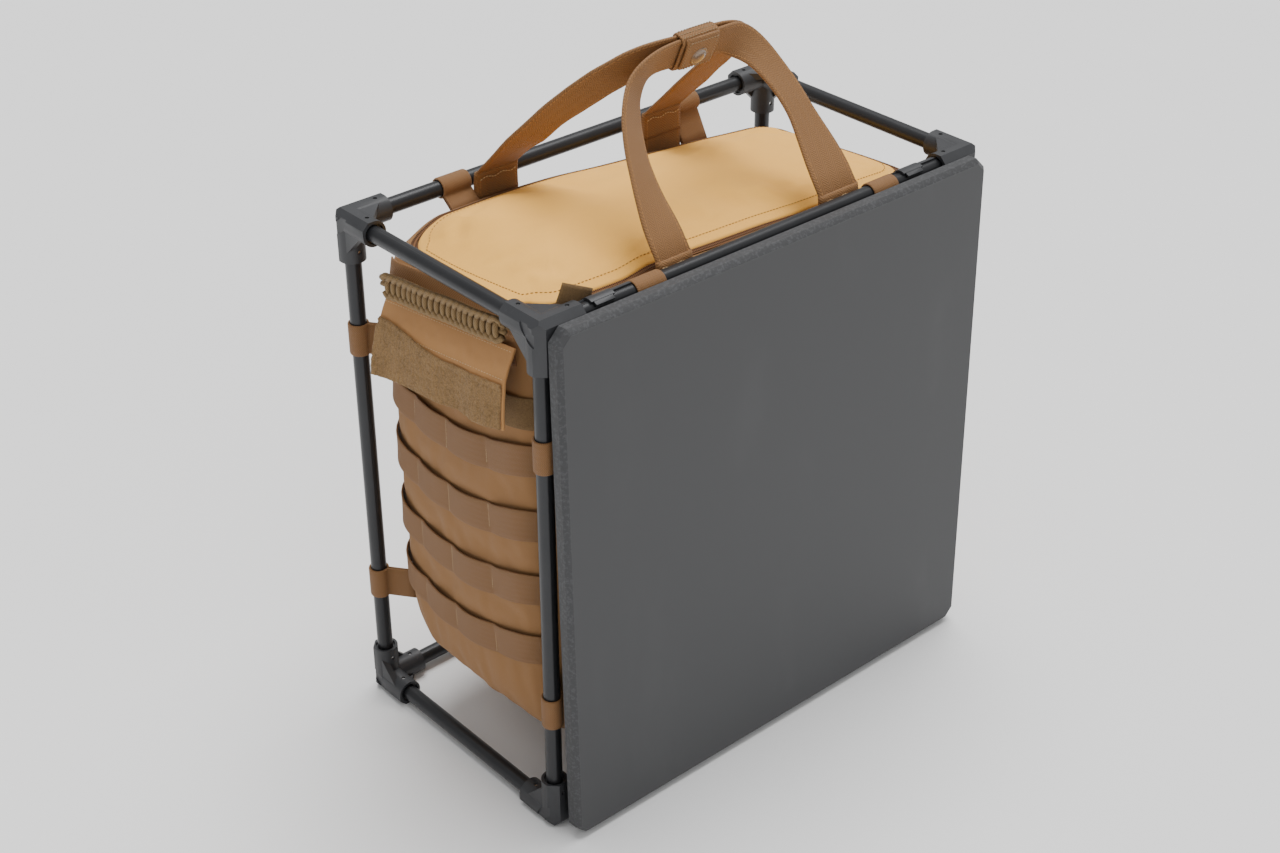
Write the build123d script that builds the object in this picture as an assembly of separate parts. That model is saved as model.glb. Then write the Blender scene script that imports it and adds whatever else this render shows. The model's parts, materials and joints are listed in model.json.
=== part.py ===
"""Camp kitchen table, packed for carrying.

An upright box of twelve round poles and eight moulded corner hubs. A fabric bag hangs inside it
from webbing loops, and the table board hooks over the top front pole and hangs down the front.

Millimetres, +Z up, the front with the table board faces -Y. Every piece is built with X and Y
centred on the frame and the floor at Z 0, and is moved at the end so that the origin lies under
the centre of the whole object.
"""

import os
from math import atan2, cos, degrees, pi, radians, sin, tan

from build123d import *

# ---------------------------------------------------------------- frame: driving dimensions
frame_width = 400.0        # left to right, from pole axis to pole axis
frame_depth = 210.0        # front to back, from pole axis to pole axis
frame_height = 400.0       # bottom to top, from pole axis to pole axis
pole_radius = 6.0
pole_wall = 1.0
hub_radius = 9.6           # from a socket's axis to its wall and to the flat outer faces
socket_reach = 30.0        # from the corner to a socket's mouth
socket_floor = 9.0         # from the corner to where a pole's end stops
socket_clearance = 0.1     # between a pole and its socket
mouth_recess = 1.6         # how much wider the dark ring at a socket's mouth is than the pole
mouth_depth = 2.0
hub_chamfer = 5.0          # on the outer edges beside the top and bottom faces
hub_edge_chamfer = 6.5     # on the outer upright edge
web_reach = 27.0           # the gussets run this far along two neighbouring sockets
web_thickness = 5.0
web_recess = 1.5           # a gusset lies this far inside the flat outer face
dish_length = 21.0         # the oval dish in the outer side of a hub
dish_width = 9.0
dish_depth = 1.0
pin_radius = 1.5
pin_clearance = 0.05
pin_place = 22.0           # from the corner to a cross pin
pin_recess = 1.0           # a pin's ends lie this far under the hub's surface

# ---------------------------------------------------------------- table board
board_width = frame_width + 6.0
board_height = frame_height + 12.0
board_thickness = 11.0
board_corner = 9.0         # the 45 degree cut at each corner
board_bevel = 3.4          # round the front face
board_gap = 10.8           # from the top front pole's axis to the back of the board, past the hubs' edges
board_rise = 5.0           # how far the board's top edge stands above that axis
board_lean = 1.2           # degrees, the bottom stands further out than the top
clip_length = 44.0         # along the pole
clip_wall = 2.0
clip_clearance = 0.1       # running fit round the pole
clip_gap_to_hub = 1.5
clip_hook_start = 0.17     # share of the clip's length before the deep hook begins
clip_hook_end = 0.62
clip_lip = 3.4             # how far the hook's free edge flares out
clip_lip_root = 1.2        # of the flare inside the hook
clip_plate_height = 34.0
clip_plate_thickness = 2.0
screw_head_radius = 3.0
screw_head_height = 1.6
screw_shank_radius = 1.5
screw_depth = 6.0          # of thread in the board
screw_spacing = 26.0

# ---------------------------------------------------------------- bag
bag_length = frame_width - 20.0      # between its end walls, at the corners
bag_depth = frame_depth - 30.0
bag_corner_radius = 24.0
bag_wall = 4.0
bag_floor_height = 38.0    # above the floor the frame stands on
bag_rim_height = frame_height        # top of the walls, a hub's radius below the top poles' axes
board_clearance = 0.8      # between the packed bag and the board that rests on it
back_bulge = 10.0
end_bulge = 8.0
zip_width = 9.0            # closed zip and its tapes, round the lid
zip_height = 1.5
zip_inset = 9.5            # from the bag's side to the zip
hinge_reach = 30.0         # the zip stops this far from the left end, where the lid is sewn to the bag
hinge_half_width = 58.0
lid_wall = 3.0
lid_rise = 13.0            # of the dome above the rim
webbing = 1.7              # thickness of one layer of webbing
narrow_webbing = 25.0
handle_webbing = 38.0      # of the straps at their feet
grip_webbing = 25.0        # of the straps above their feet, where their edges are folded in
loop_clearance = 0.15      # between a loop and its pole
loop_place_x = frame_width / 2 - 88.5     # from the middle to each loop on the top poles
loop_place_z = frame_height / 2 - 93.0    # from the middle to each loop on the upright poles
# each row's lower edge: share of the bag's depth from its middle, and rise above the row's lowest point
row_line = ((0.428, 9.0), (0.322, 3.0), (0.222, 0.8), (0.028, 0.0), (-0.222, 5.5), (-0.444, 14.5))
row_heights = (258.0, 205.0, 151.5, 99.0)   # lowest point of each row, above the lowest pole's axis
soft_clearance = 0.3       # between soft pieces on different bodies
skin_gap = 0.1             # between a layer of cloth and the wall it is sewn to

# ---------------------------------------------------------------- ends of the bag
end_tilt = 7.5             # degrees, the pocket, its flap and the end handle sit lower at the back
flap_hinge_height = frame_height - 39.0     # above the lowest pole's axis, half way along
flap_width = bag_depth - 34.0
flap_thickness = 3.0
flap_top_run = 25.0        # smooth upper part of the flap
flap_low_run = 32.0        # upright lower part, faced with loop tape
flap_top_slope = 42.0      # degrees from upright
flap_low_slope = 3.0
loop_tape_thickness = 1.4
end_handle_length = flap_width - 4.0
end_handle_height = 16.0
end_handle_thickness = 11.0
end_handle_place = 6.5     # from the flap's hinge up to the handle
end_handle_seat = 1.8      # from the flap's hinge out to the handle
pocket_zip_face = bag_length / 2 + 4.6     # from the bag's middle to the outer face of a pocket's zip
pocket_zip_place = (-16.0, -9.0)     # heights from the flap's hinge
hook_tape_place = (-62.0, -38.0)
slider_length = 11.0
slider_width = 8.0
slider_height = 3.6
slider_gap = 0.2           # between a slider and its pull
slider_place = 54.0 - frame_width / 2     # along X, at the front
slider_turn = 2.2          # degrees, the zip's own direction there
pull_length = 30.0
pull_width = 6.5
pull_thickness = 1.6
pocket_slider_place = 15.0 - flap_width / 2     # along the pocket's zip, closed at the front
tab_width = 28.0           # hook-faced tab standing up at the front left corner
tab_thickness = 2.0
tab_heights = (frame_height - 22.0, frame_height + 19.0)     # above the lowest pole's axis

# ---------------------------------------------------------------- carry handles
handle_feet = {"front": (-80.0, 76.0), "back": (-80.0, 80.0)}
arch_fullness = 0.75       # below 1 the straps' arches are fuller than an ellipse
handle_thickness = 2.6
# degrees that the outer edge of each strap's left and right leg turns outward half way up
handle_twists = {"front": (32.0, -5.0), "back": (2.0, -16.0)}
foot_height = 27.0         # of the stitched feet on the bag's wall
foot_rise = 18.0           # the feet stand this far above the rim
wrap_place = (8.0, -17.6, bag_rim_height + 118.9)     # the wrap's middle
wrap_lean = 24.0           # degrees, the upper edges lean to the front
wrap_length = 34.0
wrap_wall = 1.8
wrap_clearance = 0.8       # between a strap and the wrap's walls
strap_spacing = 4.4        # between the middles of the two straps in the wrap
button_height = -2.0       # of the press stud above the wrap's middle
flap_button_radius = 6.8
flap_button_height = 2.4
stud_radius = 2.2
stud_height = 1.0

half_width = frame_width / 2
half_depth = frame_depth / 2
low = hub_radius                    # height of the bottom poles' axes
high = hub_radius + frame_height    # height of the top poles' axes

# the bag swells towards the front until it is board_clearance from the leaning board
board_back_y = half_depth + board_gap + (high - bag_floor_height / 2 - bag_rim_height / 2) * tan(radians(board_lean))
front_bulge = board_back_y - board_clearance - bag_depth / 2

parts = {}


# ================================================================ frame
def hub_at_corner():
    """Hub whose corner is the origin, with its three sockets along +X, +Y and +Z."""
    r = hub_radius
    body = Sphere(r)
    for turn in (Rot(0, 90, 0), Rot(-90, 0, 0), Rot(0, 0, 0)):
        body += turn * Cylinder(r, socket_reach, align=(Align.CENTER, Align.CENTER, Align.MIN))
    span = socket_reach + r
    for size in ((span, r, r), (r, span, r), (r, r, span)):
        body += Pos(-r, -r, -r) * Box(*size, align=(Align.MIN, Align.MIN, Align.MIN))
    # gussets between each two sockets, a little inside the flat outer faces
    gusset = Polyline((0, 0), (web_reach, 0), (0, web_reach), close=True)
    inset = -r + web_recess
    body += Pos(0, 0, inset) * extrude(make_face(gusset), web_thickness)
    upright = Plane(origin=(0, inset, 0), x_dir=(1, 0, 0), z_dir=(0, 1, 0))
    body += extrude(make_face(Polyline((0, 0), (web_reach, 0), (0, -web_reach), close=True)
                              .moved(upright.location)), web_thickness, dir=(0, 1, 0))
    sideways = Plane(origin=(inset, 0, 0), x_dir=(0, 1, 0), z_dir=(1, 0, 0))
    body += extrude(make_face(gusset.moved(sideways.location)), web_thickness, dir=(1, 0, 0))
    # outer edges cut at 45 degrees
    for along, cut in (("x", hub_chamfer), ("y", hub_chamfer), ("z", hub_edge_chamfer)):
        bar = Rot(0, 0, 45) * Box(cut * 2 ** 0.5, cut * 2 ** 0.5, 3 * span)
        if along == "x":
            bar = Pos(0, -r, -r) * Rot(0, 90, 0) * bar
        elif along == "y":
            bar = Pos(-r, 0, -r) * Rot(90, 0, 0) * bar
        else:
            bar = Pos(-r, -r, 0) * bar
        body -= bar
    # sockets, with a wider ring at each mouth
    for turn in (Rot(0, 90, 0), Rot(-90, 0, 0), Rot(0, 0, 0)):
        bore = Pos(0, 0, socket_floor) * Cylinder(
            pole_radius + socket_clearance, socket_reach, align=(Align.CENTER, Align.CENTER, Align.MIN))
        mouth = Pos(0, 0, socket_reach - mouth_depth) * Cylinder(
            pole_radius + mouth_recess, mouth_depth, align=(Align.CENTER, Align.CENTER, Align.MIN))
        body -= turn * (bore + mouth)
    for place in pin_places():
        body -= place * Cylinder(pin_radius + pin_clearance, 4 * r)
    # oval dish in the outer side
    side = Plane(origin=(-r, 1.0, 1.0), x_dir=(0, 1, -1), z_dir=(-1, 0, 0))
    dish = extrude(side * Ellipse(dish_length / 2, dish_width / 2), dish_depth, both=True)
    return body - dish


def pin_places():
    """Where the cross pins of a hub at the origin lie, one for each socket."""
    return (Pos(pin_place, 0, 0), Pos(0, pin_place, 0), Pos(0, 0, pin_place) * Rot(90, 0, 0))


def put_on_corner(shape, x_sign, y_sign, top):
    """Mirrors a piece made for the bottom front left corner onto another corner."""
    if x_sign > 0:
        shape = mirror(shape, Plane.YZ)
    if y_sign > 0:
        shape = mirror(shape, Plane.XZ)
    if top:
        shape = mirror(shape, Plane.XY)
    return Pos(x_sign * half_width, y_sign * half_depth, high if top else low) * shape


def pole(length, turn, place):
    """Tube along Z before it is turned, drilled for the cross pins at both ends."""
    tube = Cylinder(pole_radius, length) - Cylinder(pole_radius - pole_wall, length)
    return place * turn * tube


corner_hub = hub_at_corner()
corner_pins = Compound(children=[
    place * Cylinder(pin_radius, 2 * (hub_radius - pin_recess)) for place in pin_places()])
pins = []
for x_sign, x_name in ((-1, "left"), (1, "right")):
    for y_sign, y_name in ((-1, "front"), (1, "back")):
        for top, z_name in ((False, "bottom"), (True, "top")):
            parts[f"hub_{z_name}_{y_name}_{x_name}"] = put_on_corner(corner_hub, x_sign, y_sign, top)
            pins += put_on_corner(corner_pins, x_sign, y_sign, top).solids()
parts["hub_pins"] = Compound(children=pins)

for y_sign, y_name in ((-1, "front"), (1, "back")):
    for z, z_name in ((low, "bottom"), (high, "top")):
        parts[f"pole_{z_name}_{y_name}"] = pole(
            frame_width - 2 * socket_floor, Rot(0, 90, 0), Pos(0, y_sign * half_depth, z))
for x_sign, x_name in ((-1, "left"), (1, "right")):
    for z, z_name in ((low, "bottom"), (high, "top")):
        parts[f"pole_{z_name}_{x_name}"] = pole(
            frame_depth - 2 * socket_floor, Rot(90, 0, 0), Pos(x_sign * half_width, 0, z))
    for y_sign, y_name in ((-1, "front"), (1, "back")):
        parts[f"pole_upright_{y_name}_{x_name}"] = pole(
            frame_height - 2 * socket_floor, Rot(0, 0, 0),
            Pos(x_sign * half_width, y_sign * half_depth, (low + high) / 2))
pin_holes = Compound(children=[
    put_on_corner(place * Cylinder(pin_radius + pin_clearance, 2 * hub_radius), x_sign, y_sign, top)
    for x_sign in (-1, 1) for y_sign in (-1, 1) for top in (False, True) for place in pin_places()])
for name in [name for name in parts if name.startswith("pole_")]:
    parts[name] -= pin_holes

# ================================================================ table board and its clips
# Built upright behind the pole's axis at the origin, then leaned out and moved to the pole.
hang = Pos(0, -half_depth, high) * Rot(-board_lean, 0, 0)
board_back = -board_gap


def board():
    outline = Rectangle(board_width, board_height)
    outline = chamfer(outline.vertices(), board_corner)
    face = Plane(origin=(0, board_back, board_rise - board_height / 2), x_dir=(1, 0, 0), z_dir=(0, -1, 0))
    slab = extrude(face * outline, board_thickness)
    front_edges = slab.faces().sort_by(Axis.Y)[0].edges()
    slab = chamfer(front_edges, board_bevel)
    for x, z in screw_places():
        slab -= Pos(x, board_back, z) * Rot(90, 0, 0) * Cylinder(
            screw_shank_radius, screw_depth, align=(Align.CENTER, Align.CENTER, Align.MIN))
    return slab


def clip_middles():
    reach = half_width - socket_reach - clip_gap_to_hub - clip_length / 2
    return (-reach, reach)


def screw_places():
    height = -clip_plate_height / 2 - pole_radius / 2
    return [(x + side * screw_spacing / 2, height) for x in clip_middles() for side in (-1, 1)]


def arc_shell(start, end, outer, x_low, x_high):
    """Part of a sleeve round the pole, between two angles counted from the back over the top."""
    inner = pole_radius + clip_clearance
    wedge = Polyline((0, 0), *[(3 * outer * cos(radians(a)), 3 * outer * sin(radians(a)))
                               for a in (start, start + (end - start) / 3,
                                         start + 2 * (end - start) / 3, end)], close=True)
    section = make_face(wedge) & (Circle(outer) - Circle(inner))
    plane = Plane(origin=(x_low, 0, 0), x_dir=(0, 1, 0), z_dir=(1, 0, 0))
    return extrude(plane * section, x_high - x_low)


def clip(middle):
    """Hook that snaps over the pole from the front, on a plate screwed to the board's back."""
    start = middle - clip_length / 2
    hook_low = start + clip_hook_start * clip_length
    hook_high = start + clip_hook_end * clip_length
    outer = pole_radius + clip_clearance + clip_wall
    tail = outer - clip_wall / 3
    body = arc_shell(-130, 120, outer, hook_low, hook_high)
    body += arc_shell(-130, 60, tail, start, hook_low)
    body += arc_shell(-130, 95, tail, hook_high, start + clip_length)
    # flared lip along the hook's free edge
    middle_radius = outer - clip_wall / 2
    lip_end = Pos((hook_low + hook_high) / 2, -middle_radius * 0.5, middle_radius * 0.866) * Rot(28, 0, 0)
    body += lip_end * Pos(0, clip_lip_root, 0) * Box(
        (hook_high - hook_low) * 0.8, clip_lip + clip_lip_root, clip_wall * 0.8,
        align=(Align.CENTER, Align.MAX, Align.CENTER))
    # plate on the board, and the block that carries the hook
    plate_top = -pole_radius * 0.55
    plate = Pos(middle, board_back + clip_plate_thickness / 2, plate_top - clip_plate_height / 2) * Box(
        clip_length, clip_plate_thickness, clip_plate_height)
    block = Pos(middle, (board_back - pole_radius * 0.4) / 2, -outer * 0.8) * Box(
        clip_length, board_gap - pole_radius * 0.4, clip_wall * 1.6)
    body += plate + block
    body -= Pos(middle, 0, 0) * Rot(0, 90, 0) * Cylinder(pole_radius + clip_clearance, 2 * clip_length)
    for x, z in screw_places():
        body -= Pos(x, 0, z) * Rot(90, 0, 0) * Cylinder(screw_shank_radius, 4 * board_gap)
    return body


def clip_screw(x, z):
    seat = board_back + clip_plate_thickness
    head = Pos(x, seat, z) * Rot(-90, 0, 0) * Cylinder(
        screw_head_radius, screw_head_height, align=(Align.CENTER, Align.CENTER, Align.MIN))
    shank = Pos(x, seat, z) * Rot(90, 0, 0) * Cylinder(
        screw_shank_radius, screw_depth + clip_plate_thickness,
        align=(Align.CENTER, Align.CENTER, Align.MIN))
    return head + shank


parts["table_board"] = hang * board()
for middle, side in zip(clip_middles(), ("left", "right")):
    parts[f"board_clip_{side}"] = hang * clip(middle)
parts["clip_screws"] = Compound(children=[(hang * clip_screw(x, z)).solid() for x, z in screw_places()])


# ================================================================ bag
def bag_outline(inset, front, back, end, shift=0.0):
    """Plan of the bag: four gently bowed sides and round corners."""
    length = bag_length / 2 - inset
    depth = bag_depth / 2 - inset
    sides = Curve() + [
        ThreePointArc((-length, -depth), (0, -depth - front), (length, -depth)),
        ThreePointArc((length, -depth), (length + end, 0), (length, depth)),
        ThreePointArc((length, depth), (0, depth + back), (-length, depth)),
        ThreePointArc((-length, depth), (-length - end, 0), (-length, -depth))]
    face = make_face(sides)
    return Pos(0, shift, 0) * fillet(face.vertices(), max(bag_corner_radius - inset * 0.4, 6.0))


def bag_levels(floor):
    """Height, inset, share of the bulge and shift of each section, from the bag's floor up."""
    bottom = bag_floor_height + floor
    tall = bag_rim_height - bag_floor_height
    return ((bottom, 36.0, 0.1, -12.0), (bottom + 10.0, 18.0, 0.25, -8.0),
            (bottom + 30.0, 6.0, 0.55, -4.0), (bag_floor_height + 70.0, 1.0, 0.85, -0.5),
            (bag_floor_height + 0.5 * tall, 0.0, 1.0, 0.0), (bag_floor_height + 0.76 * tall, 0.0, 0.7, 0.0),
            (bag_rim_height - 14.0, 0.0, 0.2, 0.0), (bag_rim_height - 5.0, 2.5, 0.2, 0.0),
            (bag_rim_height, zip_inset - 0.5, 0.2, 0.0))


def bag_shape(inset, floor=0.0):
    """Outer shape of the bag, made smaller all round by inset, with its floor raised."""
    sections = [Pos(0, 0, z) * bag_outline(step + inset, front_bulge * share, back_bulge * share,
                                           end_bulge * share, shift)
                for z, step, share, shift in bag_levels(floor)]
    return loft(sections, ruled=True)


bag_outside = bag_shape(0)
bag_skin = bag_shape(-skin_gap)
parts["bag_body"] = bag_outside - bag_shape(bag_wall, bag_wall)
rim_shares = [value * bag_levels(0)[-1][2] for value in (front_bulge, back_bulge, end_bulge)]


def rim_plan(inset):
    return bag_outline(inset, *rim_shares)


zip_ring = Pos(0, 0, bag_rim_height) * extrude(
    rim_plan(zip_inset) - rim_plan(zip_inset + zip_width), zip_height)
lid_hinge = Pos(0, 0, bag_rim_height) * extrude(
    rim_plan(zip_inset) - rim_plan(zip_inset + zip_width + lid_wall), zip_height)
hinge_region = Pos(-bag_length / 2, 0, bag_rim_height) * Box(
    2 * hinge_reach, 2 * hinge_half_width, 4 * zip_height)


def lid_dome(inset, drop):
    """Domed lid, lower and smaller all round by inset and drop."""
    levels = ((0.0, 0.0), (0.35, 6.0), (0.7, 18.0), (1.0, 45.0))
    return loft([Pos(0, 0, bag_rim_height + zip_height * (rise > 0) + rise * (lid_rise - drop))
                 * rim_plan(zip_inset + zip_width + inset + step) for rise, step in levels], ruled=True)


dome = lid_dome(0.0, 0.0) - lid_dome(lid_wall, lid_wall)
parts["bag_lid"] = dome + (lid_hinge & hinge_region)
parts["lid_zip"] = zip_ring - hinge_region - dome


def wall_patch(x_sign, outline, proud):
    """Layer of cloth on an end wall, standing proud of it, inside an outline of (Y, Z) points."""
    return (wall_region(x_sign, outline) & bag_shape(-proud - skin_gap) - bag_skin
            ).solids().sort_by(SortBy.VOLUME)[-1]


def wall_region(x_sign, outline):
    """Everything at one end of the bag inside an outline of (Y, Z) points."""
    start = x_sign * bag_length / 4
    plane = Plane(origin=(start, 0, 0), x_dir=(0, 1, 0), z_dir=(1, 0, 0))
    return extrude(plane * make_face(Polyline(*outline, close=True)), bag_length / 2 * x_sign)


def band(line, height):
    """Outline of a band of even height whose lower edge follows a line of (Y, Z) points."""
    return tuple(line) + tuple((y, z + height) for y, z in reversed(line))


def tilted(y_low, y_high, z_low, z_high):
    """Outline of a band that rises to the front with the pocket, in heights from its hinge."""
    middle = low + flap_hinge_height
    slope = -tan(radians(end_tilt))
    return ((y_low, middle + z_low + y_low * slope), (y_high, middle + z_low + y_high * slope),
            (y_high, middle + z_high + y_high * slope), (y_low, middle + z_high + y_low * slope))


for x_sign, x_name in ((-1, "left"), (1, "right")):
    rows = [wall_patch(x_sign, band([(y * bag_depth, low + height + z) for y, z in row_line], narrow_webbing), webbing)
            for height in row_heights]
    parts[f"molle_webbing_{x_name}"] = Compound(children=rows)


def webbing_loop(pole_place, turn, toward):
    """Loop of webbing round a pole, whose tail runs down to the bag."""
    inner = pole_radius + loop_clearance
    ring = Cylinder(inner + webbing, narrow_webbing)
    reach = 40.0
    tail = Rot(0, 0, toward) * Box(reach, 2 * webbing, narrow_webbing,
                                   align=(Align.MIN, Align.CENTER, Align.CENTER))
    loop = pole_place * turn * ((ring + tail) - Cylinder(inner, narrow_webbing))
    loop = loop - bag_skin - parts["lid_zip"]
    for side in ("left", "right"):
        loop -= parts[f"molle_webbing_{side}"]
    return loop.solids().sort_by_distance(pole_place.position)[0]


for y_sign, y_name in ((-1, "front"), (1, "back")):
    for x_sign, x_name in ((-1, "left"), (1, "right")):
        tail_way = degrees(atan2(-y_sign, -x_sign))
        loops = []
        for z_sign in (-1, 1):
            place = Pos(x_sign * half_width, y_sign * half_depth, (low + high) / 2 + z_sign * loop_place_z)
            loops.append(webbing_loop(place, Rot(0, 0, 0), tail_way))
        parts[f"loops_{y_name}_{x_name}"] = Compound(children=loops)
    loops = []
    for x_sign in (-1, 1):
        place = Pos(x_sign * loop_place_x, y_sign * half_depth, high)
        loops.append(webbing_loop(place, Rot(0, 90, 0), -50.0 if y_sign > 0 else 50.0))
    parts[f"loops_top_{y_name}"] = Compound(children=loops)

# ================================================================ pockets, end handle, zips
flap_pivot = (bag_length / 2 + end_bulge * 0.31, 0.0, low + flap_hinge_height)


def end_frame(x_sign):
    """Local frame of an end's flap: its hinge along Y, its outer side towards -X."""
    place = Pos(-flap_pivot[0], 0, flap_pivot[2]) * Rot(-end_tilt, 0, 0)
    return lambda shape: place * shape if x_sign < 0 else mirror(place * shape, Plane.YZ)


def flap_line(offset):
    """Points of the flap's profile in X and Z, moved out by offset."""
    top = radians(flap_top_slope)
    lower = radians(flap_low_slope)
    knee = (-flap_top_run * sin(top), -flap_top_run * cos(top))
    hem = (knee[0] - flap_low_run * sin(lower), knee[1] - flap_low_run * cos(lower))
    out_top = (-offset * cos(top), offset * sin(top))
    out_low = (-offset * cos(lower), offset * sin(lower))
    out_knee = (-offset, offset * tan((top - lower) / 2))
    return ((out_top[0], out_top[1]), (knee[0] + out_knee[0], knee[1] + out_knee[1] * 0.4),
            (hem[0] + out_low[0], hem[1] + out_low[1]))


def strip_between(inner, outer, width):
    outline = Polyline(*inner, *reversed(outer), close=True)
    plane = Plane(origin=(0, 0, 0), x_dir=(1, 0, 0), z_dir=(0, -1, 0))
    return extrude(plane * make_face(outline), width / 2, both=True)


def pocket_flap():
    near = soft_clearance
    return strip_between(flap_line(near), flap_line(near + flap_thickness), flap_width)


def flap_tape():
    """Loop tape on the outside of the flap's upright part."""
    face = soft_clearance + flap_thickness
    inner = flap_line(face)[1:]
    outer = flap_line(face + loop_tape_thickness)[1:]
    return strip_between(inner, outer, flap_width - 4.0)


def end_handle():
    """Woven grab handle lying along the end strip, above the flap."""
    bar = Box(end_handle_thickness, end_handle_length, end_handle_height)
    bar = fillet(bar.edges().filter_by(Axis.Y), end_handle_thickness * 0.38)
    seat = end_handle_seat + end_handle_thickness / 2
    return Pos(-seat, 0, end_handle_place + end_handle_height / 2) * bar


def pocket_slider():
    middle = sum(pocket_zip_place) / 2
    seat = pocket_zip_face + soft_clearance - flap_pivot[0]
    return Pos(-seat, pocket_slider_place, middle) * Box(
        slider_height, slider_length, slider_width, align=(Align.MAX, Align.CENTER, Align.CENTER))


flap_half = flap_width / 2
for x_sign, x_name in ((-1, "left"), (1, "right")):
    to_end = end_frame(x_sign)
    parts[f"pocket_flap_{x_name}"] = to_end(pocket_flap())
    parts[f"flap_tape_{x_name}"] = to_end(flap_tape())
    flat_zip = wall_region(x_sign, tilted(7.0 - flap_half, flap_half - 7.0, *pocket_zip_place)) - bag_skin
    flat_zip &= Box(2 * pocket_zip_face, 2 * bag_depth, 2 * bag_rim_height)
    parts[f"pocket_zip_{x_name}"] = flat_zip.solids().sort_by(SortBy.VOLUME)[-1]
    parts[f"pocket_slider_{x_name}"] = to_end(pocket_slider())
    parts[f"hook_tape_{x_name}"] = wall_patch(x_sign, tilted(-flap_half - 4.0, flap_half - 5.0, *hook_tape_place),
                                              loop_tape_thickness)
strip_top = end_handle_place + end_handle_height + 3.0
parts["end_strip"] = wall_patch(-1, tilted(-flap_half - 5.0, flap_half + 3.0, end_handle_place - 3.0, strip_top), webbing)
parts["end_handle"] = end_frame(-1)(end_handle())

# hook-faced tabs at the front left corner: one stands up, one lies on the end wall
standing = Pos(-bag_length / 2 + 6.0 + tab_width / 2, -bag_depth / 2 - webbing, low + tab_heights[0]) * Box(
    tab_width, tab_thickness, tab_heights[1] - tab_heights[0],
    align=(Align.CENTER, Align.CENTER, Align.MIN))
lying = wall_patch(-1, tilted(-flap_half - 15.0, -flap_half - 7.5, -36.0, -14.0), tab_thickness)
parts["hook_tabs"] = Compound(children=[(standing - bag_skin).solids().sort_by(SortBy.VOLUME)[-1], lying])

# zip slider at the front left end of the zip, turned along it, with its pull lying over the zip's end
slider_seat = bag_rim_height + zip_height + soft_clearance
slider_depth = bag_depth / 2 - zip_inset - zip_width / 2
slider_bow = rim_shares[0] * (1 - (slider_place / (bag_length / 2)) ** 2)
slider_at = Pos(slider_place, -slider_depth - slider_bow, slider_seat) * Rot(0, 0, -slider_turn)
parts["zip_slider"] = slider_at * Box(
    slider_length, slider_width, slider_height, align=(Align.CENTER, Align.CENTER, Align.MIN))
pull_axis_x = -slider_length / 2 - slider_gap - pull_thickness / 2
pull = Box(pull_length, pull_width, pull_thickness, align=(Align.MAX, Align.CENTER, Align.CENTER))
pull += Rot(90, 0, 0) * Cylinder(pull_thickness / 2, pull_width)
parts["zip_pull"] = slider_at * Pos(pull_axis_x, 0, pull_thickness / 2) * pull
print("slider", slider_at.position, "pull axis", (slider_at * Pos(pull_axis_x, 0, pull_thickness / 2)).position)

# ================================================================ carry handles and their wrap
wrap_at = Pos(*wrap_place) * Rot(wrap_lean, 0, 0)
wrap_up = Vector(0, -sin(radians(wrap_lean)), cos(radians(wrap_lean)))
wrap_outward = Vector(0, cos(radians(wrap_lean)), sin(radians(wrap_lean)))


def ribbon(stations, thickness):
    """Strap through stations of (middle, direction of its width, direction it runs in, width)."""
    sections = []
    for middle, across, along, width in stations:
        plane = Plane(origin=middle, x_dir=across, z_dir=along)
        sections.append(plane * Rectangle(width, thickness))
    return loft(sections, ruled=True)


def smooth(value):
    value = min(max(value, 0.0), 1.0)
    return value * value * (3 - 2 * value)


def leg_middle(foot, edge, angle):
    """Point on the middle line of one leg's arch."""
    inward = 1 - cos(angle) ** arch_fullness
    upward = sin(angle) ** arch_fullness
    return Vector(foot.X + (edge.X - foot.X) * inward, foot.Y + (edge.Y - foot.Y) * upward,
                  foot.Z + (edge.Z - foot.Z) * upward)


def leg_stations(foot, edge, y_sign, leg_twist, steps=7):
    """Stations of one leg, from its foot on the bag up to the edge of the wrap."""
    side = -1 if foot.X < edge.X else 1
    rise = Vector(0, edge.Y - foot.Y, edge.Z - foot.Z)
    lean = rise.normalized()
    stations = [(foot, Vector(side, 0, 0), Vector(0, 0, 1), handle_webbing)]
    for step in range(1, steps + 1):
        angle = radians(90 * step / steps)
        middle = leg_middle(foot, edge, angle)
        along = leg_middle(foot, edge, min(angle + 0.02, pi / 2)) - leg_middle(foot, edge, angle - 0.02)
        along = along.normalized()
        turned = smooth((step / steps - 0.3) / 0.7)
        upward = lean * (1 - turned) + wrap_up * turned
        outward = Vector(side * cos(angle) * rise.length, 0, 0) + upward * (sin(angle) * abs(foot.X - edge.X))
        across = (outward - along * outward.dot(along)).normalized()
        aside = along.cross(across)
        aside = aside if aside.Y * y_sign > 0 else aside * -1
        twist = radians(leg_twist) * sin(radians(180 * step / steps))
        width = grip_webbing + (handle_webbing - grip_webbing) * (1 - smooth(step / steps / 0.35))
        stations.append((middle, (across * cos(twist) + aside * sin(twist)).normalized(), along, width))
    return stations


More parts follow.
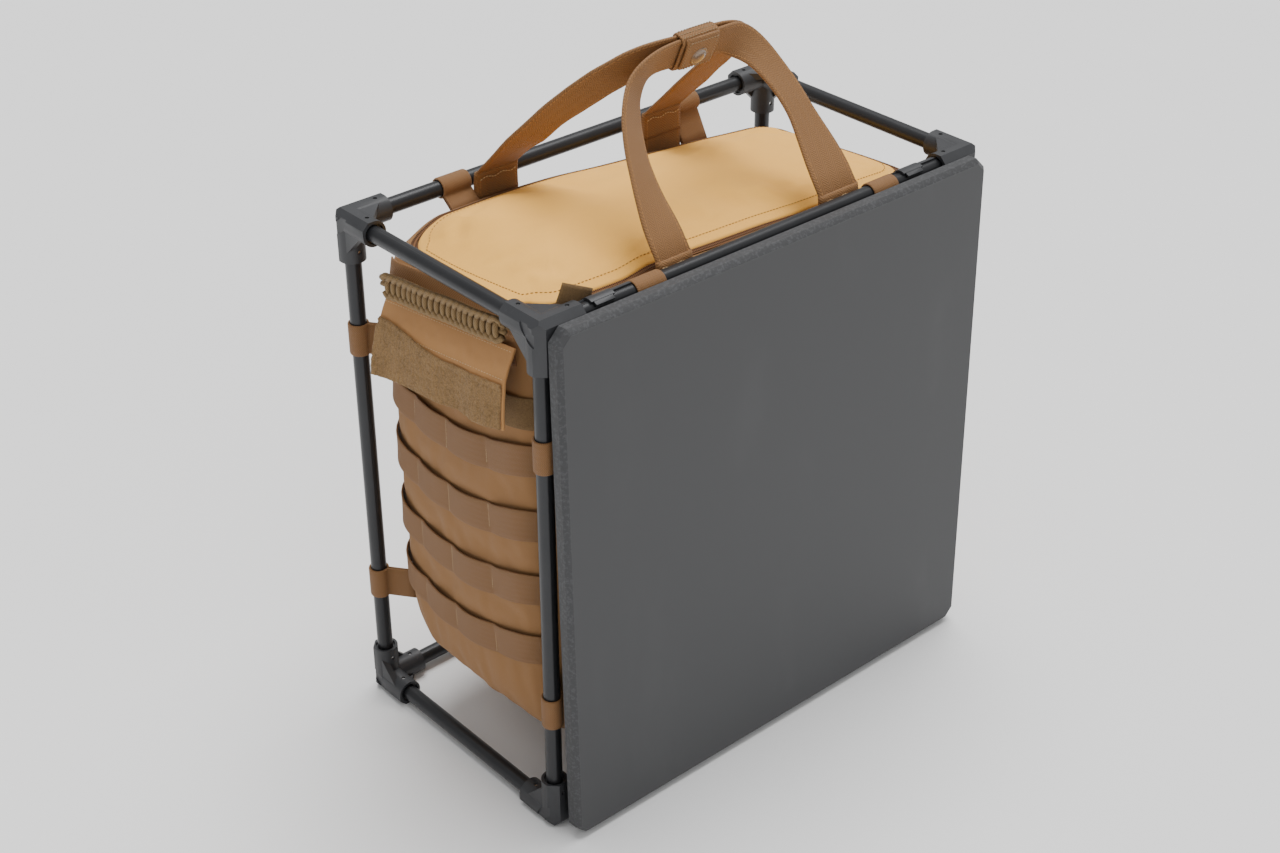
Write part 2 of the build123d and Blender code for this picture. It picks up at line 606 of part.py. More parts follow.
for y_sign, y_name in ((-1, "front"), (1, "back")):
    share = (front_bulge if y_sign < 0 else back_bulge) * 0.2
    foot_y = y_sign * (bag_depth / 2 + share + handle_thickness / 2)
    centre = Vector(*wrap_place) + wrap_outward * (y_sign * strap_spacing / 2)
    feet = [Vector(x, foot_y, bag_rim_height + foot_rise) for x in handle_feet[y_name]]
    edges = [Vector(centre.X + side * (wrap_length / 2 + 2.0), centre.Y, centre.Z) for side in (-1, 1)]
    left_twist, right_twist = handle_twists[y_name]
    left_leg = leg_stations(feet[0], edges[0], y_sign, left_twist)
    right_leg = [(middle, across, along * -1, width) for middle, across, along, width in
                 reversed(leg_stations(feet[1], edges[1], y_sign, right_twist))]
    strap = ribbon(left_leg + right_leg, handle_thickness)
    for foot in feet:
        strap += Pos(foot.X, foot.Y, foot.Z) * Box(
            handle_webbing, handle_thickness, foot_height + foot_rise,
            align=(Align.CENTER, Align.CENTER, Align.MAX))
    strap = strap - bag_skin - parts["lid_zip"] - parts[f"loops_top_{y_name}"]
    parts[f"carry_handle_{y_name}"] = strap.solids().sort_by(SortBy.VOLUME)[-1]

# sleeve that hangs on both straps, with the front flap and its press stud
inside_y = strap_spacing + handle_thickness + 2 * wrap_clearance
inside_z = grip_webbing + wrap_clearance
sleeve = Box(wrap_length, inside_y + 2 * wrap_wall, inside_z + 2 * wrap_wall)
sleeve -= Box(2 * wrap_length, inside_y, inside_z)
sleeve = Pos(0, 0, -wrap_clearance / 2) * sleeve
wrap_front = -inside_y / 2 - wrap_wall
stud = Pos(0, wrap_front, button_height) * Rot(90, 0, 0) * Cylinder(
    stud_radius, stud_height, align=(Align.CENTER, Align.CENTER, Align.MIN))
parts["handle_wrap"] = wrap_at * sleeve
parts["snap_stud"] = wrap_at * stud
flap_near = wrap_front - soft_clearance
flap_top = grip_webbing / 2 + wrap_wall
flap_cloth = Pos(0, flap_near, flap_top) * Box(
    wrap_length - 4.0, wrap_wall, grip_webbing, align=(Align.CENTER, Align.MAX, Align.MAX))
flap_cloth -= Pos(0, 0, button_height) * Rot(90, 0, 0) * Cylinder(stud_radius + 1.2, 8 * inside_y)
button = Pos(0, flap_near - wrap_wall, button_height) * Rot(90, 0, 0) * Cylinder(
    flap_button_radius, flap_button_height, align=(Align.CENTER, Align.CENTER, Align.MIN))
button = fillet(button.edges().sort_by(Axis.Y)[0], flap_button_height * 0.6)
parts["wrap_flap"] = wrap_at * flap_cloth
parts["snap_button"] = wrap_at * button
print("wrap flap hinge", (wrap_at * Pos(0, flap_near, flap_top)).position)

# ================================================================ place and write
whole = Compound(children=[solid for shape in parts.values() for solid in shape.solids()]).bounding_box()
to_origin = Pos(0, -(whole.min.Y + whole.max.Y) / 2, -whole.min.Z)
print("moved by", to_origin.position, "size", whole.size)
os.makedirs("parts", exist_ok=True)
for name, shape in parts.items():
    solids = [to_origin * solid for solid in shape.solids()]
    export_step(solids[0] if len(solids) == 1 else Compound(children=solids), f"parts/{name}.step")
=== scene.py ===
"""Looks of the camp kitchen table: a pole frame, a cloth bag hung in it and a board on its front."""

import json
import math

import bmesh
import bpy
from bpy.props import FloatProperty, FloatVectorProperty, PointerProperty
from bpy.types import Operator, Panel, PropertyGroup
from mathutils import Matrix, Vector, noise
from mathutils.bvhtree import BVHTree


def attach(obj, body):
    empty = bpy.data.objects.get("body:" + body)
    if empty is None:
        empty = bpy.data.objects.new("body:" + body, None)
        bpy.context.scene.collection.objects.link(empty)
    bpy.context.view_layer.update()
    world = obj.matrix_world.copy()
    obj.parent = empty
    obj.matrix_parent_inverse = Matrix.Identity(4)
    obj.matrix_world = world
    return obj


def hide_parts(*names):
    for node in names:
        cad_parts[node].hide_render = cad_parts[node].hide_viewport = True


bl_info = {
    "name": "Camp kitchen table",
    "version": (1, 0, 0),
    "blender": (4, 5, 0),
    "location": "3D View > Sidebar > Camp table",
    "description": "Builds the packed camp kitchen table round its solid parts",
    "category": "Add Mesh",
}

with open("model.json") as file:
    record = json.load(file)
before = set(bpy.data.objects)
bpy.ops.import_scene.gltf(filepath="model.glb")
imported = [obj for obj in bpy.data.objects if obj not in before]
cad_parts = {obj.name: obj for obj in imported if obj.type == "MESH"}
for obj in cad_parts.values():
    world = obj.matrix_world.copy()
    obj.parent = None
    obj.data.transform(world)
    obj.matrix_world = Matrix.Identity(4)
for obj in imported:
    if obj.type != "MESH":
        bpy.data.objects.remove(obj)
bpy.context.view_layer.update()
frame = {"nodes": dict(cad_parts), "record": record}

# Millimetres, as in the solid parts: X and Y centred on the pole frame, Z up from the floor.
ACROSS, UP = Vector((1, 0, 0)), Vector((0, 0, 1))
Y_SHIFT = 10.3238                               # from the frame's middle to the row's own zero
HALF_WIDTH, HALF_DEPTH, LOW, HIGH = 200.0, 105.0, 9.6, 409.6     # the poles' axes
BOARD_GAP, BOARD_LEAN = 10.8, math.radians(1.2)  # from the top front pole's axis to the board's back
BAG_HALF_LENGTH, BAG_HALF_DEPTH, BAG_CORNER = 190.0, 90.0, 24.0
BULGES, RIM_BULGE = (29.0, 10.0, 8.0), 0.2      # front, back and ends; the share of them left at the rim
BAG_FLOOR, BAG_RIM = 38, 400.0
# height, inset, share of the bulge, shift to the back
BAG_LEVELS = ((BAG_FLOOR, 36, 0.1, -12), (48, 18, 0.25, -8), (68, 6, 0.55, -4), (108, 1, 0.85, -0.5),
              (219, 0, 1, 0), (313, 0, 0.7, 0), (386, 0, 0.2, 0), (395, 2.5, 0.2, 0), (400, 9, 0.2, 0))
LONG_STEPS, CORNER_STEPS, SHORT_STEPS = 66, 8, 28
# how far the rim lies above level, from left to right
FRONT_SAG = ((-200, 0), (-160, 0.6), (-146, 0.8), (-110, 0.9), (-84, 4.6), (-57, 4.0), (-23, 2.8),
             (15, 1.4), (60, -2), (120, -5), (170, -9), (190, -10))
BACK_SAG = ((-200, -14), (-169, -7), (-140, 3), (-96, 3), (-49, 1), (10, -5), (97, -12), (160, -18),
            (190, -20))
# inset from the zip's inner edge, and the lid's rise there
LID_RISE = ((0, 1.0), (0.8, 2.6), (1.8, 3.1), (4.5, 4.3), (8, 6.0), (12.5, 8.0), (19, 10.2), (32, 12.4),
            (47, 13.6), (90, 13.9))
LID_STEPS = (0, 0.8, 1.8, 3, 4.5, 6.2, 8, 10, 12.5, 15.5, 19, 23, 27.5, 32, 37, 42, 47, 52, 56.5, 60.5,
             64.5, 68.5, 73)
LID_SEAM = 7.2                                  # inset of the lid's row of stitches
ZIP_MIDDLE, ZIP_WIDTH, COIL_APART = 14.0, 5.6, 1.45     # the middle is in from the bag's side
LOOP_HEIGHTS, TOP_LOOP_X = 107, 111.5           # from the uprights' middle, and from the middle
# how far a row lies above its own height, from back to front
ROW_LINE = ((84, 11.5), (77, 9), (58, 3), (40, 0.8), (5, 0), (-40, 5.5), (-80, 14.5))
ROW_HEIGHTS, ROW_MIDDLE = (267.6, 214.6, 161.1, 108.6), 12.5
SEAM_YS, ROW_END = (46.0, 7.0, -38.0), 88.0
FLAP_HINGE = (192.48, 370.6)                    # out from the middle, and up
FLAP_HALF, FLAP_DROP = 73.0, 57
END_TILT = math.radians(7.5)
END_RUN = Vector((0, math.cos(END_TILT), -math.sin(END_TILT)))   # along an end's pocket
END_RISE = Vector((0, math.sin(END_TILT), math.cos(END_TILT)))
POCKET_ZIP_HEIGHT, POCKET_ZIP_OUT = -12.5, 194.4
HANDLE_HALF, HANDLE_OUT, HANDLE_HEIGHT = 67.0, 7.2, 14.5
STRAP_FEET = {"front": (-80, 76), "back": (-80, 80)}
STRAP_TWISTS = {"front": (27, -4), "back": (36, -15)}    # degrees, left and right leg
FOOT_WIDTHS = {"front": (0.8, 1.0), "back": (1.0, 1.0)}  # of the strap's own width
FOOT_TOP, ARCH_FULLNESS, STRAPS_APART = 418.0, 0.75, 2.2
WRAP_MIDDLE, WRAP_LEAN = Vector((8, -17.6, 518.9)), math.radians(24)
WRAP_FACING = Vector((0, -math.cos(WRAP_LEAN), -math.sin(WRAP_LEAN)))
WRAP_RISING = Vector((0, -math.sin(WRAP_LEAN), math.cos(WRAP_LEAN)))
WRAP_HALF, WRAP_CLOTH, WRAP_INSIDE, BUTTON_HEIGHT = 19, 1.8, 4.3, -2.0
CAP_PROFILE = ((6.9, 0.0), (7.2, 0.3), (7.2, 0.8), (7.0, 1.2), (6.5, 1.35), (6.2, 1.1), (5.9, 1.15),
               (5.1, 1.75), (3.8, 2.2), (2.0, 2.5), (0.02, 2.6))
STUD_PROFILE = ((2.2, 0.0), (2.2, 0.15), (1.7, 0.35), (1.7, 0.5), (2.15, 0.7), (2.0, 0.95), (1.2, 1.0),
                (0.02, 1.0))


# ------------------------------------------------------------------------------- sizes and colours to change
def length(label, note, default):
    """A size in metres for the sidebar."""
    return FloatProperty(name=label, description=note, default=default, min=0.0001, max=0.2, precision=4,
                         subtype="DISTANCE", unit="LENGTH")


def tint(label, note, default):
    """A colour for the sidebar."""
    return FloatVectorProperty(name=label, description=note, default=default, size=3, min=0.0, max=1.0,
                               subtype="COLOR")


class CampTableSizes(PropertyGroup):
    """Sizes of the table's cloth goods and small pieces."""

    cloth_thickness: length("Cloth", "Thickness of the bag's cloth", 0.0018)
    cloth_swell: length("Cloth swell", "How far the bag's cloth fills out at most", 0.004)
    strap_width: length("Strap width", "Width of the carry straps at their feet", 0.038)
    grip_width: length("Grip width", "Width of the carry straps where their edges are folded in", 0.025)
    strap_thickness: length("Strap thickness", "Thickness of the carry straps", 0.0026)
    webbing_width: length("Webbing width", "Width of the loops and attachment rows", 0.025)
    webbing_thickness: length("Webbing thickness", "Thickness of the attachment rows", 0.0015)
    row_swell: length("Row swell", "How far the rows stand off between their seams", 0.0024)
    cord_radius: length("Cord radius", "Radius of the grab handle's cord", 0.0021)
    knot_pitch: length("Knot pitch", "Length of one knot of the grab handle", 0.0064)
    pile_height: length("Pile", "Thickness of the loop pile", 0.0016)
    stitch_length: length("Stitch", "Length of one stitch", 0.0022)
    coil_pitch: length("Coil pitch", "Spacing of the zip's coil", 0.00145)
    edge_round: length("Edge rounding", "Rounding of the moulded hubs' edges", 0.0007)


class CampTableColours(PropertyGroup):
    """Colours of the table's finishes."""

    tube: tint("Poles", "Anodised tube", (0.023, 0.0236, 0.0258))
    hub: tint("Hubs", "Moulded plastic", (0.028, 0.029, 0.032))
    board: tint("Board", "Textured board", (0.037, 0.0376, 0.0398))
    # The lid and the walls are one nylon cloth: the lid's paler tint is painted light from above, and the
    # walls' and flaps' darker tint is painted shade.
    cloth: tint("Lid cloth", "Nylon cloth of the lid", (0.96, 0.5, 0.09))
    wall: tint("Wall cloth", "Nylon cloth of the bag's walls and flaps", (0.29, 0.145, 0.052))
    strap: tint("Straps", "Webbing", (0.265, 0.124, 0.038))
    pile: tint("Pile", "Loop pile tape", (0.33, 0.2, 0.088))
    cord: tint("Cord", "Grab handle cord", (0.24, 0.15, 0.062))
    zip: tint("Zip", "Zip tape and coil", (0.2, 0.088, 0.032))
    thread: tint("Thread", "Sewing thread", (0.6, 0.42, 0.22))
    snap: tint("Press stud", "Lacquered metal", (0.22, 0.15, 0.1))


def millimetres(name):
    """One of the chosen sizes, in millimetres."""
    return getattr(bpy.context.scene.camp_table_sizes, name) * 1000


def chosen(name, factor=1.0):
    """One of the chosen colours, made darker or lighter by the factor."""
    return shade(getattr(bpy.context.scene.camp_table_colours, name), factor)


def place(x, y, z):
    """A point given in millimetres, in the row's own frame."""
    return Vector((x, y + Y_SHIFT, z)) * 0.001


def ramp(value, start, end):
    """0 before start, 1 after end, eased between."""
    t = min(max((value - start) / (end - start), 0.0), 1.0)
    return t * t * (3 - 2 * t)


def table_value(x, rows, column=1):
    """Smooth curve through a table's rows, read at x."""
    rows = sorted(rows)
    if x <= rows[0][0]:
        return rows[0][column]
    if x >= rows[-1][0]:
        return rows[-1][column]
    i = next(k for k in range(len(rows) - 1) if x <= rows[k + 1][0])

    def slope(k):
        if k in (0, len(rows) - 1):
            return 0.0
        before = (rows[k][column] - rows[k - 1][column]) / (rows[k][0] - rows[k - 1][0])
        after = (rows[k + 1][column] - rows[k][column]) / (rows[k + 1][0] - rows[k][0])
        return 0.0 if before * after <= 0 else 2 * before * after / (before + after)

    span = rows[i + 1][0] - rows[i][0]
    t = (x - rows[i][0]) / span
    return ((2 * t ** 3 - 3 * t ** 2 + 1) * rows[i][column] + (t ** 3 - 2 * t ** 2 + t) * span * slope(i)
            + (3 * t ** 2 - 2 * t ** 3) * rows[i + 1][column] + (t ** 3 - t ** 2) * span * slope(i + 1))


# ------------------------------------------------------------------------------- shader maths
class Value:
    """A socket that can be used in plain arithmetic."""

    def __init__(self, graph, socket):
        self.graph = graph
        self.socket = socket

    def maths(self, operation, *others):
        values = dict(enumerate((self,) + others))
        return self.graph.node("ShaderNodeMath", {"operation": operation}, values)

    def __add__(self, other):
        return self.maths("ADD", other)

    def __sub__(self, other):
        return self.maths("SUBTRACT", other)

    def __rsub__(self, other):
        return self.graph.node("ShaderNodeMath", {"operation": "SUBTRACT"}, {0: other, 1: self})

    def __mul__(self, other):
        return self.maths("MULTIPLY", other)

    __radd__, __rmul__ = __add__, __mul__

    def __truediv__(self, other):
        return self.maths("DIVIDE", other)

    def __pow__(self, other):
        return self.maths("POWER", other)

    def sine(self):
        return self.maths("SINE")

    def size(self):
        return self.maths("ABSOLUTE")

    def at_least(self, other):
        return self.maths("MAXIMUM", other)

    def at_most(self, other):
        return self.maths("MINIMUM", other)

    def to_and_fro(self, span):
        return self.maths("PINGPONG", span)

    def eased(self, start, end, low=0.0, high=1.0):
        """low before start, high after end, eased between."""
        return self.graph.node("ShaderNodeMapRange", {"interpolation_type": "SMOOTHSTEP"}, {
            "Value": self, "From Min": start, "From Max": end, "To Min": low, "To Max": high})


class Graph:
    """Builds the nodes of one material."""

    def __init__(self, name):
        self.material = bpy.data.materials.new(name)
        self.material.use_nodes = True
        self.tree = self.material.node_tree
        self.tree.nodes.clear()
        self.spot = self.node("ShaderNodeTexCoord", output="Object")

    def node(self, kind, settings=None, values=None, output=0):
        made = self.tree.nodes.new(kind)
        for key, setting in (settings or {}).items():
            setattr(made, key, setting)
        for key, value in (values or {}).items():
            if isinstance(value, Value):
                self.tree.links.new(value.socket, made.inputs[key])
            else:
                made.inputs[key].default_value = value
        return Value(self, made.outputs[output]) if len(made.outputs) else None

    def cloth_place(self):
        """Position on a piece's own cloth, in millimetres, as separate values."""
        flat = self.node("ShaderNodeUVMap", {"uv_map": "UVMap"})
        return tuple(self.node("ShaderNodeSeparateXYZ", values={0: flat}, output=k) for k in (0, 1))

    def stretch(self, vector, scale, turn=(0, 0, 0)):
        return self.node("ShaderNodeMapping", values={"Vector": vector, "Scale": scale, "Rotation": turn})

    def noise(self, vector, scale, detail=3.0, rough=0.55):
        return self.node("ShaderNodeTexNoise", values={
            "Vector": vector, "Scale": scale, "Detail": detail, "Roughness": rough})

    def cells(self, vector, scale):
        return self.node("ShaderNodeTexVoronoi", values={"Vector": vector, "Scale": scale})

    def mix(self, factor, low, high):
        return self.node("ShaderNodeMix", {"data_type": "RGBA"}, {0: factor, 6: low, 7: high}, output=2)

    def bump(self, height, depth, strength=1.0, under=None):
        values = {"Height": height, "Distance": depth, "Strength": strength}
        if under is not None:
            values["Normal"] = under
        return self.node("ShaderNodeBump", values=values)

    def finish(self, **values):
        """Principled surface; names use _ for a space."""
        feeds = {key.replace("_", " "): value for key, value in values.items()}
        surface = self.node("ShaderNodeBsdfPrincipled", values=feeds)
        self.node("ShaderNodeOutputMaterial", values={"Surface": surface})
        return self.material


def shade(base, factor):
    """A colour made darker or lighter, with its alpha."""
    return (base[0] * factor, base[1] * factor, base[2] * factor, 1.0)


# ------------------------------------------------------------------------------- materials
def anodised_tube():
    """Dark satin tube with fine lengthwise scuffs."""
    g = Graph("anodised tube")
    cloud = g.noise(g.spot, 35.0)
    scuff = g.noise(g.stretch(g.spot, (900, 900, 60)), 1.0, 2.0)
    finish = g.mix(cloud, chosen("tube", 0.8), chosen("tube", 1.35))
    return g.finish(Base_Color=finish, Metallic=0.35, Roughness=0.27 + 0.1 * scuff + 0.06 * cloud,
                    Normal=g.bump(g.noise(g.spot, 1800.0, 2.0), 0.00002, 0.4))


def moulded_hub():
    """Grained plastic, rubbed paler in places."""
    g = Graph("moulded hub plastic")
    grain = g.noise(g.spot, 2600.0, 2.0)
    cloud = g.noise(g.spot, 60.0)
    rub = g.noise(g.spot, 210.0, 5.0, 0.7).eased(0.6, 0.78)
    finish = g.mix(cloud, chosen("hub", 0.85), chosen("hub", 1.2))
    finish = g.mix(rub * 0.35, finish, chosen("hub", 2.4))
    return g.finish(Base_Color=finish, Roughness=0.42 + 0.14 * cloud - 0.08 * rub, Specular_IOR_Level=0.5,
                    Normal=g.bump(grain, 0.00006, 0.5))


def textured_board():
    """Pebbled board with smeared dark patches and worn, paler edges."""
    g = Graph("textured board")
    parts = [g.node("ShaderNodeSeparateXYZ", values={0: g.spot}, output=k) for k in (0, 1, 2)]
    cloud = g.noise(g.stretch(g.spot, (1, 1, 0.6)), 7.0, 4.0)
    smear = g.noise(g.stretch(g.spot, (3.0, 3.0, 1.0), (0, 0.5, 0)), 5.0, 6.0, 0.6).eased(0.55, 0.75)
    grain = g.noise(g.spot, 1500.0, 3.0)
    speck = g.noise(g.spot, 420.0, 4.0, 0.7)
    side = (parts[0].size() - 0.1985).eased(0.0, 0.002)
    top = (parts[2] - 0.4105).eased(0.0, 0.0015)
    edge = side.at_least(top)
    worn = edge * speck.eased(0.48, 0.62)
    finish = g.mix(cloud, chosen("board", 0.88), chosen("board", 1.15))
    finish = g.mix(smear * 0.3, finish, chosen("board", 0.72))
    finish = g.mix(worn * 0.4, finish, chosen("board", 2.6))
    pits = g.bump(grain, 0.00005, 0.55)
    return g.finish(Base_Color=finish, Roughness=0.46 + 0.1 * cloud - 0.1 * smear + 0.1 * edge,
                    Specular_IOR_Level=0.5, Normal=g.bump(speck * edge, 0.0004, 0.7, pits))


def satin_clip():
    """Smoother plastic than the hubs'."""
    g = Graph("satin clip plastic")
    cloud = g.noise(g.spot, 90.0)
    finish = g.mix(cloud, chosen("hub", 0.9), chosen("hub", 1.3))
    return g.finish(Base_Color=finish, Roughness=0.32 + 0.14 * cloud,
                    Normal=g.bump(g.noise(g.spot, 1500.0, 2.0), 0.00004, 0.4))


def plain_metal(name, finish, rough, metal=1.0):
    """Bare or bronzed metal with a faint grain."""
    g = Graph(name)
    cloud = g.noise(g.spot, 400.0)
    return g.finish(Base_Color=g.mix(cloud, shade(finish, 0.8), shade(finish, 1.1)), Metallic=metal,
                    Roughness=rough + 0.12 * cloud, Normal=g.bump(g.noise(g.spot, 2500.0), 0.00003, 0.5))


def woven_cloth(name, base, thread_pitch=0.75, fold=1.0):
    """Close plain weave whose threads follow the cloth, with slubs, soft creases and handling marks."""
    g = Graph(name)
    along, across = g.cloth_place()
    turn = math.tau / thread_pitch
    over = (along * turn).sine() * (across * turn).sine()
    weave = (over.size() ** 0.6) * 0.5 + 0.5 * g.noise(g.spot, 1300.0, 1.0)
    both = g.node("ShaderNodeCombineXYZ", values={0: along * 0.9, 1: across * 0.035, 2: 0.0})
    slub = g.noise(both, 1.0, 2.0)
    both = g.node("ShaderNodeCombineXYZ", values={0: along * 0.03, 1: across * 0.8, 2: 3.0})
    pick = g.noise(both, 1.0, 2.0)
    cloud = g.noise(g.spot, 9.0, 4.0)
    rub = g.noise(g.spot, 45.0, 5.0, 0.6)
    tone = 0.84 + 0.16 * cloud + 0.1 * (slub - 0.5) + 0.08 * (pick - 0.5) + 0.12 * (rub - 0.5)
    tinted = g.mix(tone.at_most(1.0).at_least(0.0), shade(base, 0.72), shade(base, 1.12))
    tinted = g.mix((1.0 - weave) * 0.3, tinted, shade(base, 0.55))
    crease = g.bump(g.noise(g.spot, 28.0, 4.0, 0.6), 0.0011 * fold, 0.55)
    crease = g.bump(g.noise(g.spot, 120.0, 3.0, 0.6), 0.00025 * fold, 0.5, crease)
    return g.finish(Base_Color=tinted, Roughness=0.7 + 0.12 * cloud, Specular_IOR_Level=0.35,
                    Sheen_Weight=0.06, Sheen_Roughness=0.5, Normal=g.bump(weave, 0.00012, 0.7, crease))


def ribbed_webbing(name, base, rib, chevron):
    """Herringbone strap: slanting ribs that turn back in stripes along it."""
    g = Graph(name)
    along, across = g.cloth_place()
    slant = (across + 200.0).to_and_fro(chevron)
    ribs = ((along + slant * 0.9) * (math.tau / rib)).sine() * 0.5 + 0.5
    cross = ((across + along * 0.05) * (math.tau / 0.9)).sine() * 0.5 + 0.5
    cloud = g.noise(g.spot, 30.0, 4.0)
    fuzz = g.noise(g.spot, 1500.0, 2.0)
    tone = (ribs * 0.6 + cross * 0.15 + fuzz * 0.3).at_most(1.0)
    tinted = g.mix(tone, shade(base, 0.55), shade(base, 1.25))
    tinted = g.mix(cloud * 0.3, tinted, shade(base, 0.8))
    height = ribs * 0.75 + cross * 0.25
    soft = g.bump(g.noise(g.spot, 90.0, 3.0), 0.0005, 0.4)
    return g.finish(Base_Color=tinted, Roughness=0.62 + 0.15 * fuzz, Specular_IOR_Level=0.5,
                    Sheen_Weight=0.05, Normal=g.bump(height, 0.00035, 0.8, soft))


def pile_tape(name, base, clump=420.0, depth=0.0012):
    """Loop or hook tape: clumped pile with darker gaps."""
    g = Graph(name)
    clumps = g.noise(g.spot, clump, 4.0, 0.75)
    tufts = g.cells(g.spot, clump * 2.2)
    cloud = g.noise(g.spot, 55.0, 4.0, 0.65)
    height = clumps * 0.6 + (1.0 - tufts) * 0.4
    tone = (height * 1.3 - 0.25 + (cloud - 0.5) * 0.7).at_least(0.0).at_most(1.0)
    tinted = g.mix(tone, shade(base, 0.5), shade(base, 1.3))
    return g.finish(Base_Color=tinted, Roughness=0.92, Specular_IOR_Level=0.15, Sheen_Weight=0.08,
                    Normal=g.bump(height, depth, 0.9))


def braided_cord():
    """Cord whose braid runs round it both ways."""
    g = Graph("braided cord")
    along, round_it = g.cloth_place()
    first = ((along * 0.8 + round_it) * (math.tau / 1.5)).sine()
    second = ((along * 0.8 - round_it) * (math.tau / 1.5)).sine()
    braid = first.at_least(second) * 0.5 + 0.5
    cloud = g.noise(g.spot, 120.0, 3.0)
    tinted = g.mix(braid * 0.75 + 0.25 * cloud, chosen("cord", 0.45), chosen("cord", 1.35))
    return g.finish(Base_Color=tinted, Roughness=0.72, Specular_IOR_Level=0.35, Sheen_Weight=0.06,
                    Normal=g.bump(braid, 0.0003, 0.8))


def thread(name, base):
    """Twisted sewing thread or a zip's coil, with a faint fuzz."""
    g = Graph(name)
    fuzz = g.noise(g.spot, 2200.0, 2.0)
    return g.finish(Base_Color=g.mix(fuzz, shade(base, 0.7), shade(base, 1.2)), Roughness=0.6,
                    Normal=g.bump(fuzz, 0.0001, 0.6))


def lacquered_snap():
    """Lacquered dome with a few chips."""
    g = Graph("lacquered snap")
    cloud = g.noise(g.spot, 350.0, 4.0)
    chip = g.noise(g.spot, 900.0, 4.0, 0.7).eased(0.62, 0.7)
    finish = g.mix(cloud, chosen("snap", 0.9), chosen("snap", 1.2))
    finish = g.mix(chip * 0.4, finish, chosen("snap", 1.7))
    return g.finish(Base_Color=finish, Roughness=0.2 + 0.12 * cloud, Coat_Weight=0.5, Metallic=0.3,
                    Normal=g.bump(cloud, 0.00006, 0.5))


MAKERS = {
    "tube": anodised_tube, "hub": moulded_hub, "board": textured_board, "clip": satin_clip,
    "pin": lambda: plain_metal("bright pin", (0.62, 0.61, 0.6), 0.2),
    "screw": lambda: plain_metal("screw steel", (0.42, 0.42, 0.43), 0.32),
    "slider": lambda: plain_metal("bronzed slider", (0.13, 0.085, 0.05), 0.35, 0.8),
    # The lid's cloth carries painted light and the walls' cloth carries painted shade. The flaps' cloth is
    # that painted shade made 1.6 times lighter.
    "cloth": lambda: woven_cloth("nylon cloth", chosen("cloth")),
    "wall cloth": lambda: woven_cloth("wall cloth", chosen("wall")),
    "flap cloth": lambda: woven_cloth("flap cloth", chosen("wall", 1.6)),
    "webbing": lambda: ribbed_webbing("narrow webbing", chosen("strap", 0.92), 1.2, 2.1),
    "strap": lambda: ribbed_webbing("carry strap webbing", chosen("strap"), 2.1, 4.7),
    "tape": lambda: woven_cloth("zip tape", chosen("zip"), 0.6, 0.2),
    "coil": lambda: thread("zip coil", chosen("zip", 0.75)),
    "pile": lambda: pile_tape("loop pile", chosen("pile")),
    "hook": lambda: pile_tape("hook pile", chosen("pile", 0.62), 700.0, 0.0006),
    "cord": braided_cord,
    "thread": lambda: thread("sewing thread", chosen("thread")),
    "seam thread": lambda: thread("seam thread", chosen("cloth", 0.5)),
    "strap thread": lambda: thread("strap thread", chosen("strap", 1.5)),
    "row thread": lambda: thread("row thread", chosen("thread", 0.75)),
    "brown thread": lambda: thread("brown thread", chosen("thread", 0.5)),
    "snap": lacquered_snap,
}
made_materials = {}


def material(name):
    """The finish of that name, made when it is first asked for."""
    if name not in made_materials:
        made_materials[name] = MAKERS[name]()
    return made_materials[name]


# ------------------------------------------------------------------------------- mesh helpers
def raw_mesh(name, points, faces, flat=None, wrap=None, merge=None):
    """Mesh from points in millimetres; flat gives cloth positions, which start again every wrap."""
    mesh = bpy.data.meshes.new(name)
    mesh.from_pydata([place(*p) for p in points], [], faces)
    if flat is not None:
        layer = mesh.uv_layers.new(name="UVMap")
        for face in mesh.polygons:
            spots = [flat[mesh.loops[k].vertex_index] for k in face.loop_indices]
            far = max(u for u, _ in spots)
            for k, (u, v) in zip(face.loop_indices, spots):
                layer.data[k].uv = (u + wrap if wrap and far - u > wrap / 2 else u, v)
    work = bmesh.new()
    work.from_mesh(mesh)
    if merge:
        bmesh.ops.remove_doubles(work, verts=work.verts, dist=merge * 0.001)
    bmesh.ops.recalc_face_normals(work, faces=work.faces)
    work.to_mesh(mesh)
    work.free()
    return mesh


def added(name, data):
    """A new object for the data, linked to the scene."""
    made = bpy.data.objects.new(name, data)
    bpy.context.collection.objects.link(made)
    return made


def piece(name, shape, finish, slot, body="frame", stands_for=(), sharp=None, modifiers=(), **how):
    """A finished piece from (points, faces, flat) in millimetres, which rides on a body."""
    return adopt(name, raw_mesh(name, *shape, **how), finish, body, stands_for, sharp, modifiers)


def adopt(name, mesh, finish, body="frame", stands_for=(), sharp=None, modifiers=()):
    mesh.materials.clear()
    mesh.materials.append(material(finish))
    mesh.polygons.foreach_set("use_smooth", [True] * len(mesh.polygons))
    if sharp is not None:
        mesh.set_sharp_from_angle(angle=math.radians(sharp))
    made = added(name, mesh)
    for kind, settings in modifiers:
        modifier = made.modifiers.new(kind.title(), kind)
        for key, value in settings.items():
            setattr(modifier, key, value)
    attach(made, body)
    if stands_for:
        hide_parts(*stands_for)
    return made


def wall(thickness, offset=0):
    """Modifier that gives a sheet its thickness, in millimetres."""
    return "SOLIDIFY", {"thickness": thickness * 0.001, "offset": offset}


FINER = ("SUBSURF", {"levels": 1, "render_levels": 1})


def body_of_node(node):
    """The moving body that a solid part belongs to."""
    return next(name for name, nodes in frame["record"]["behaviour"]["bodies"].items() if node in nodes)


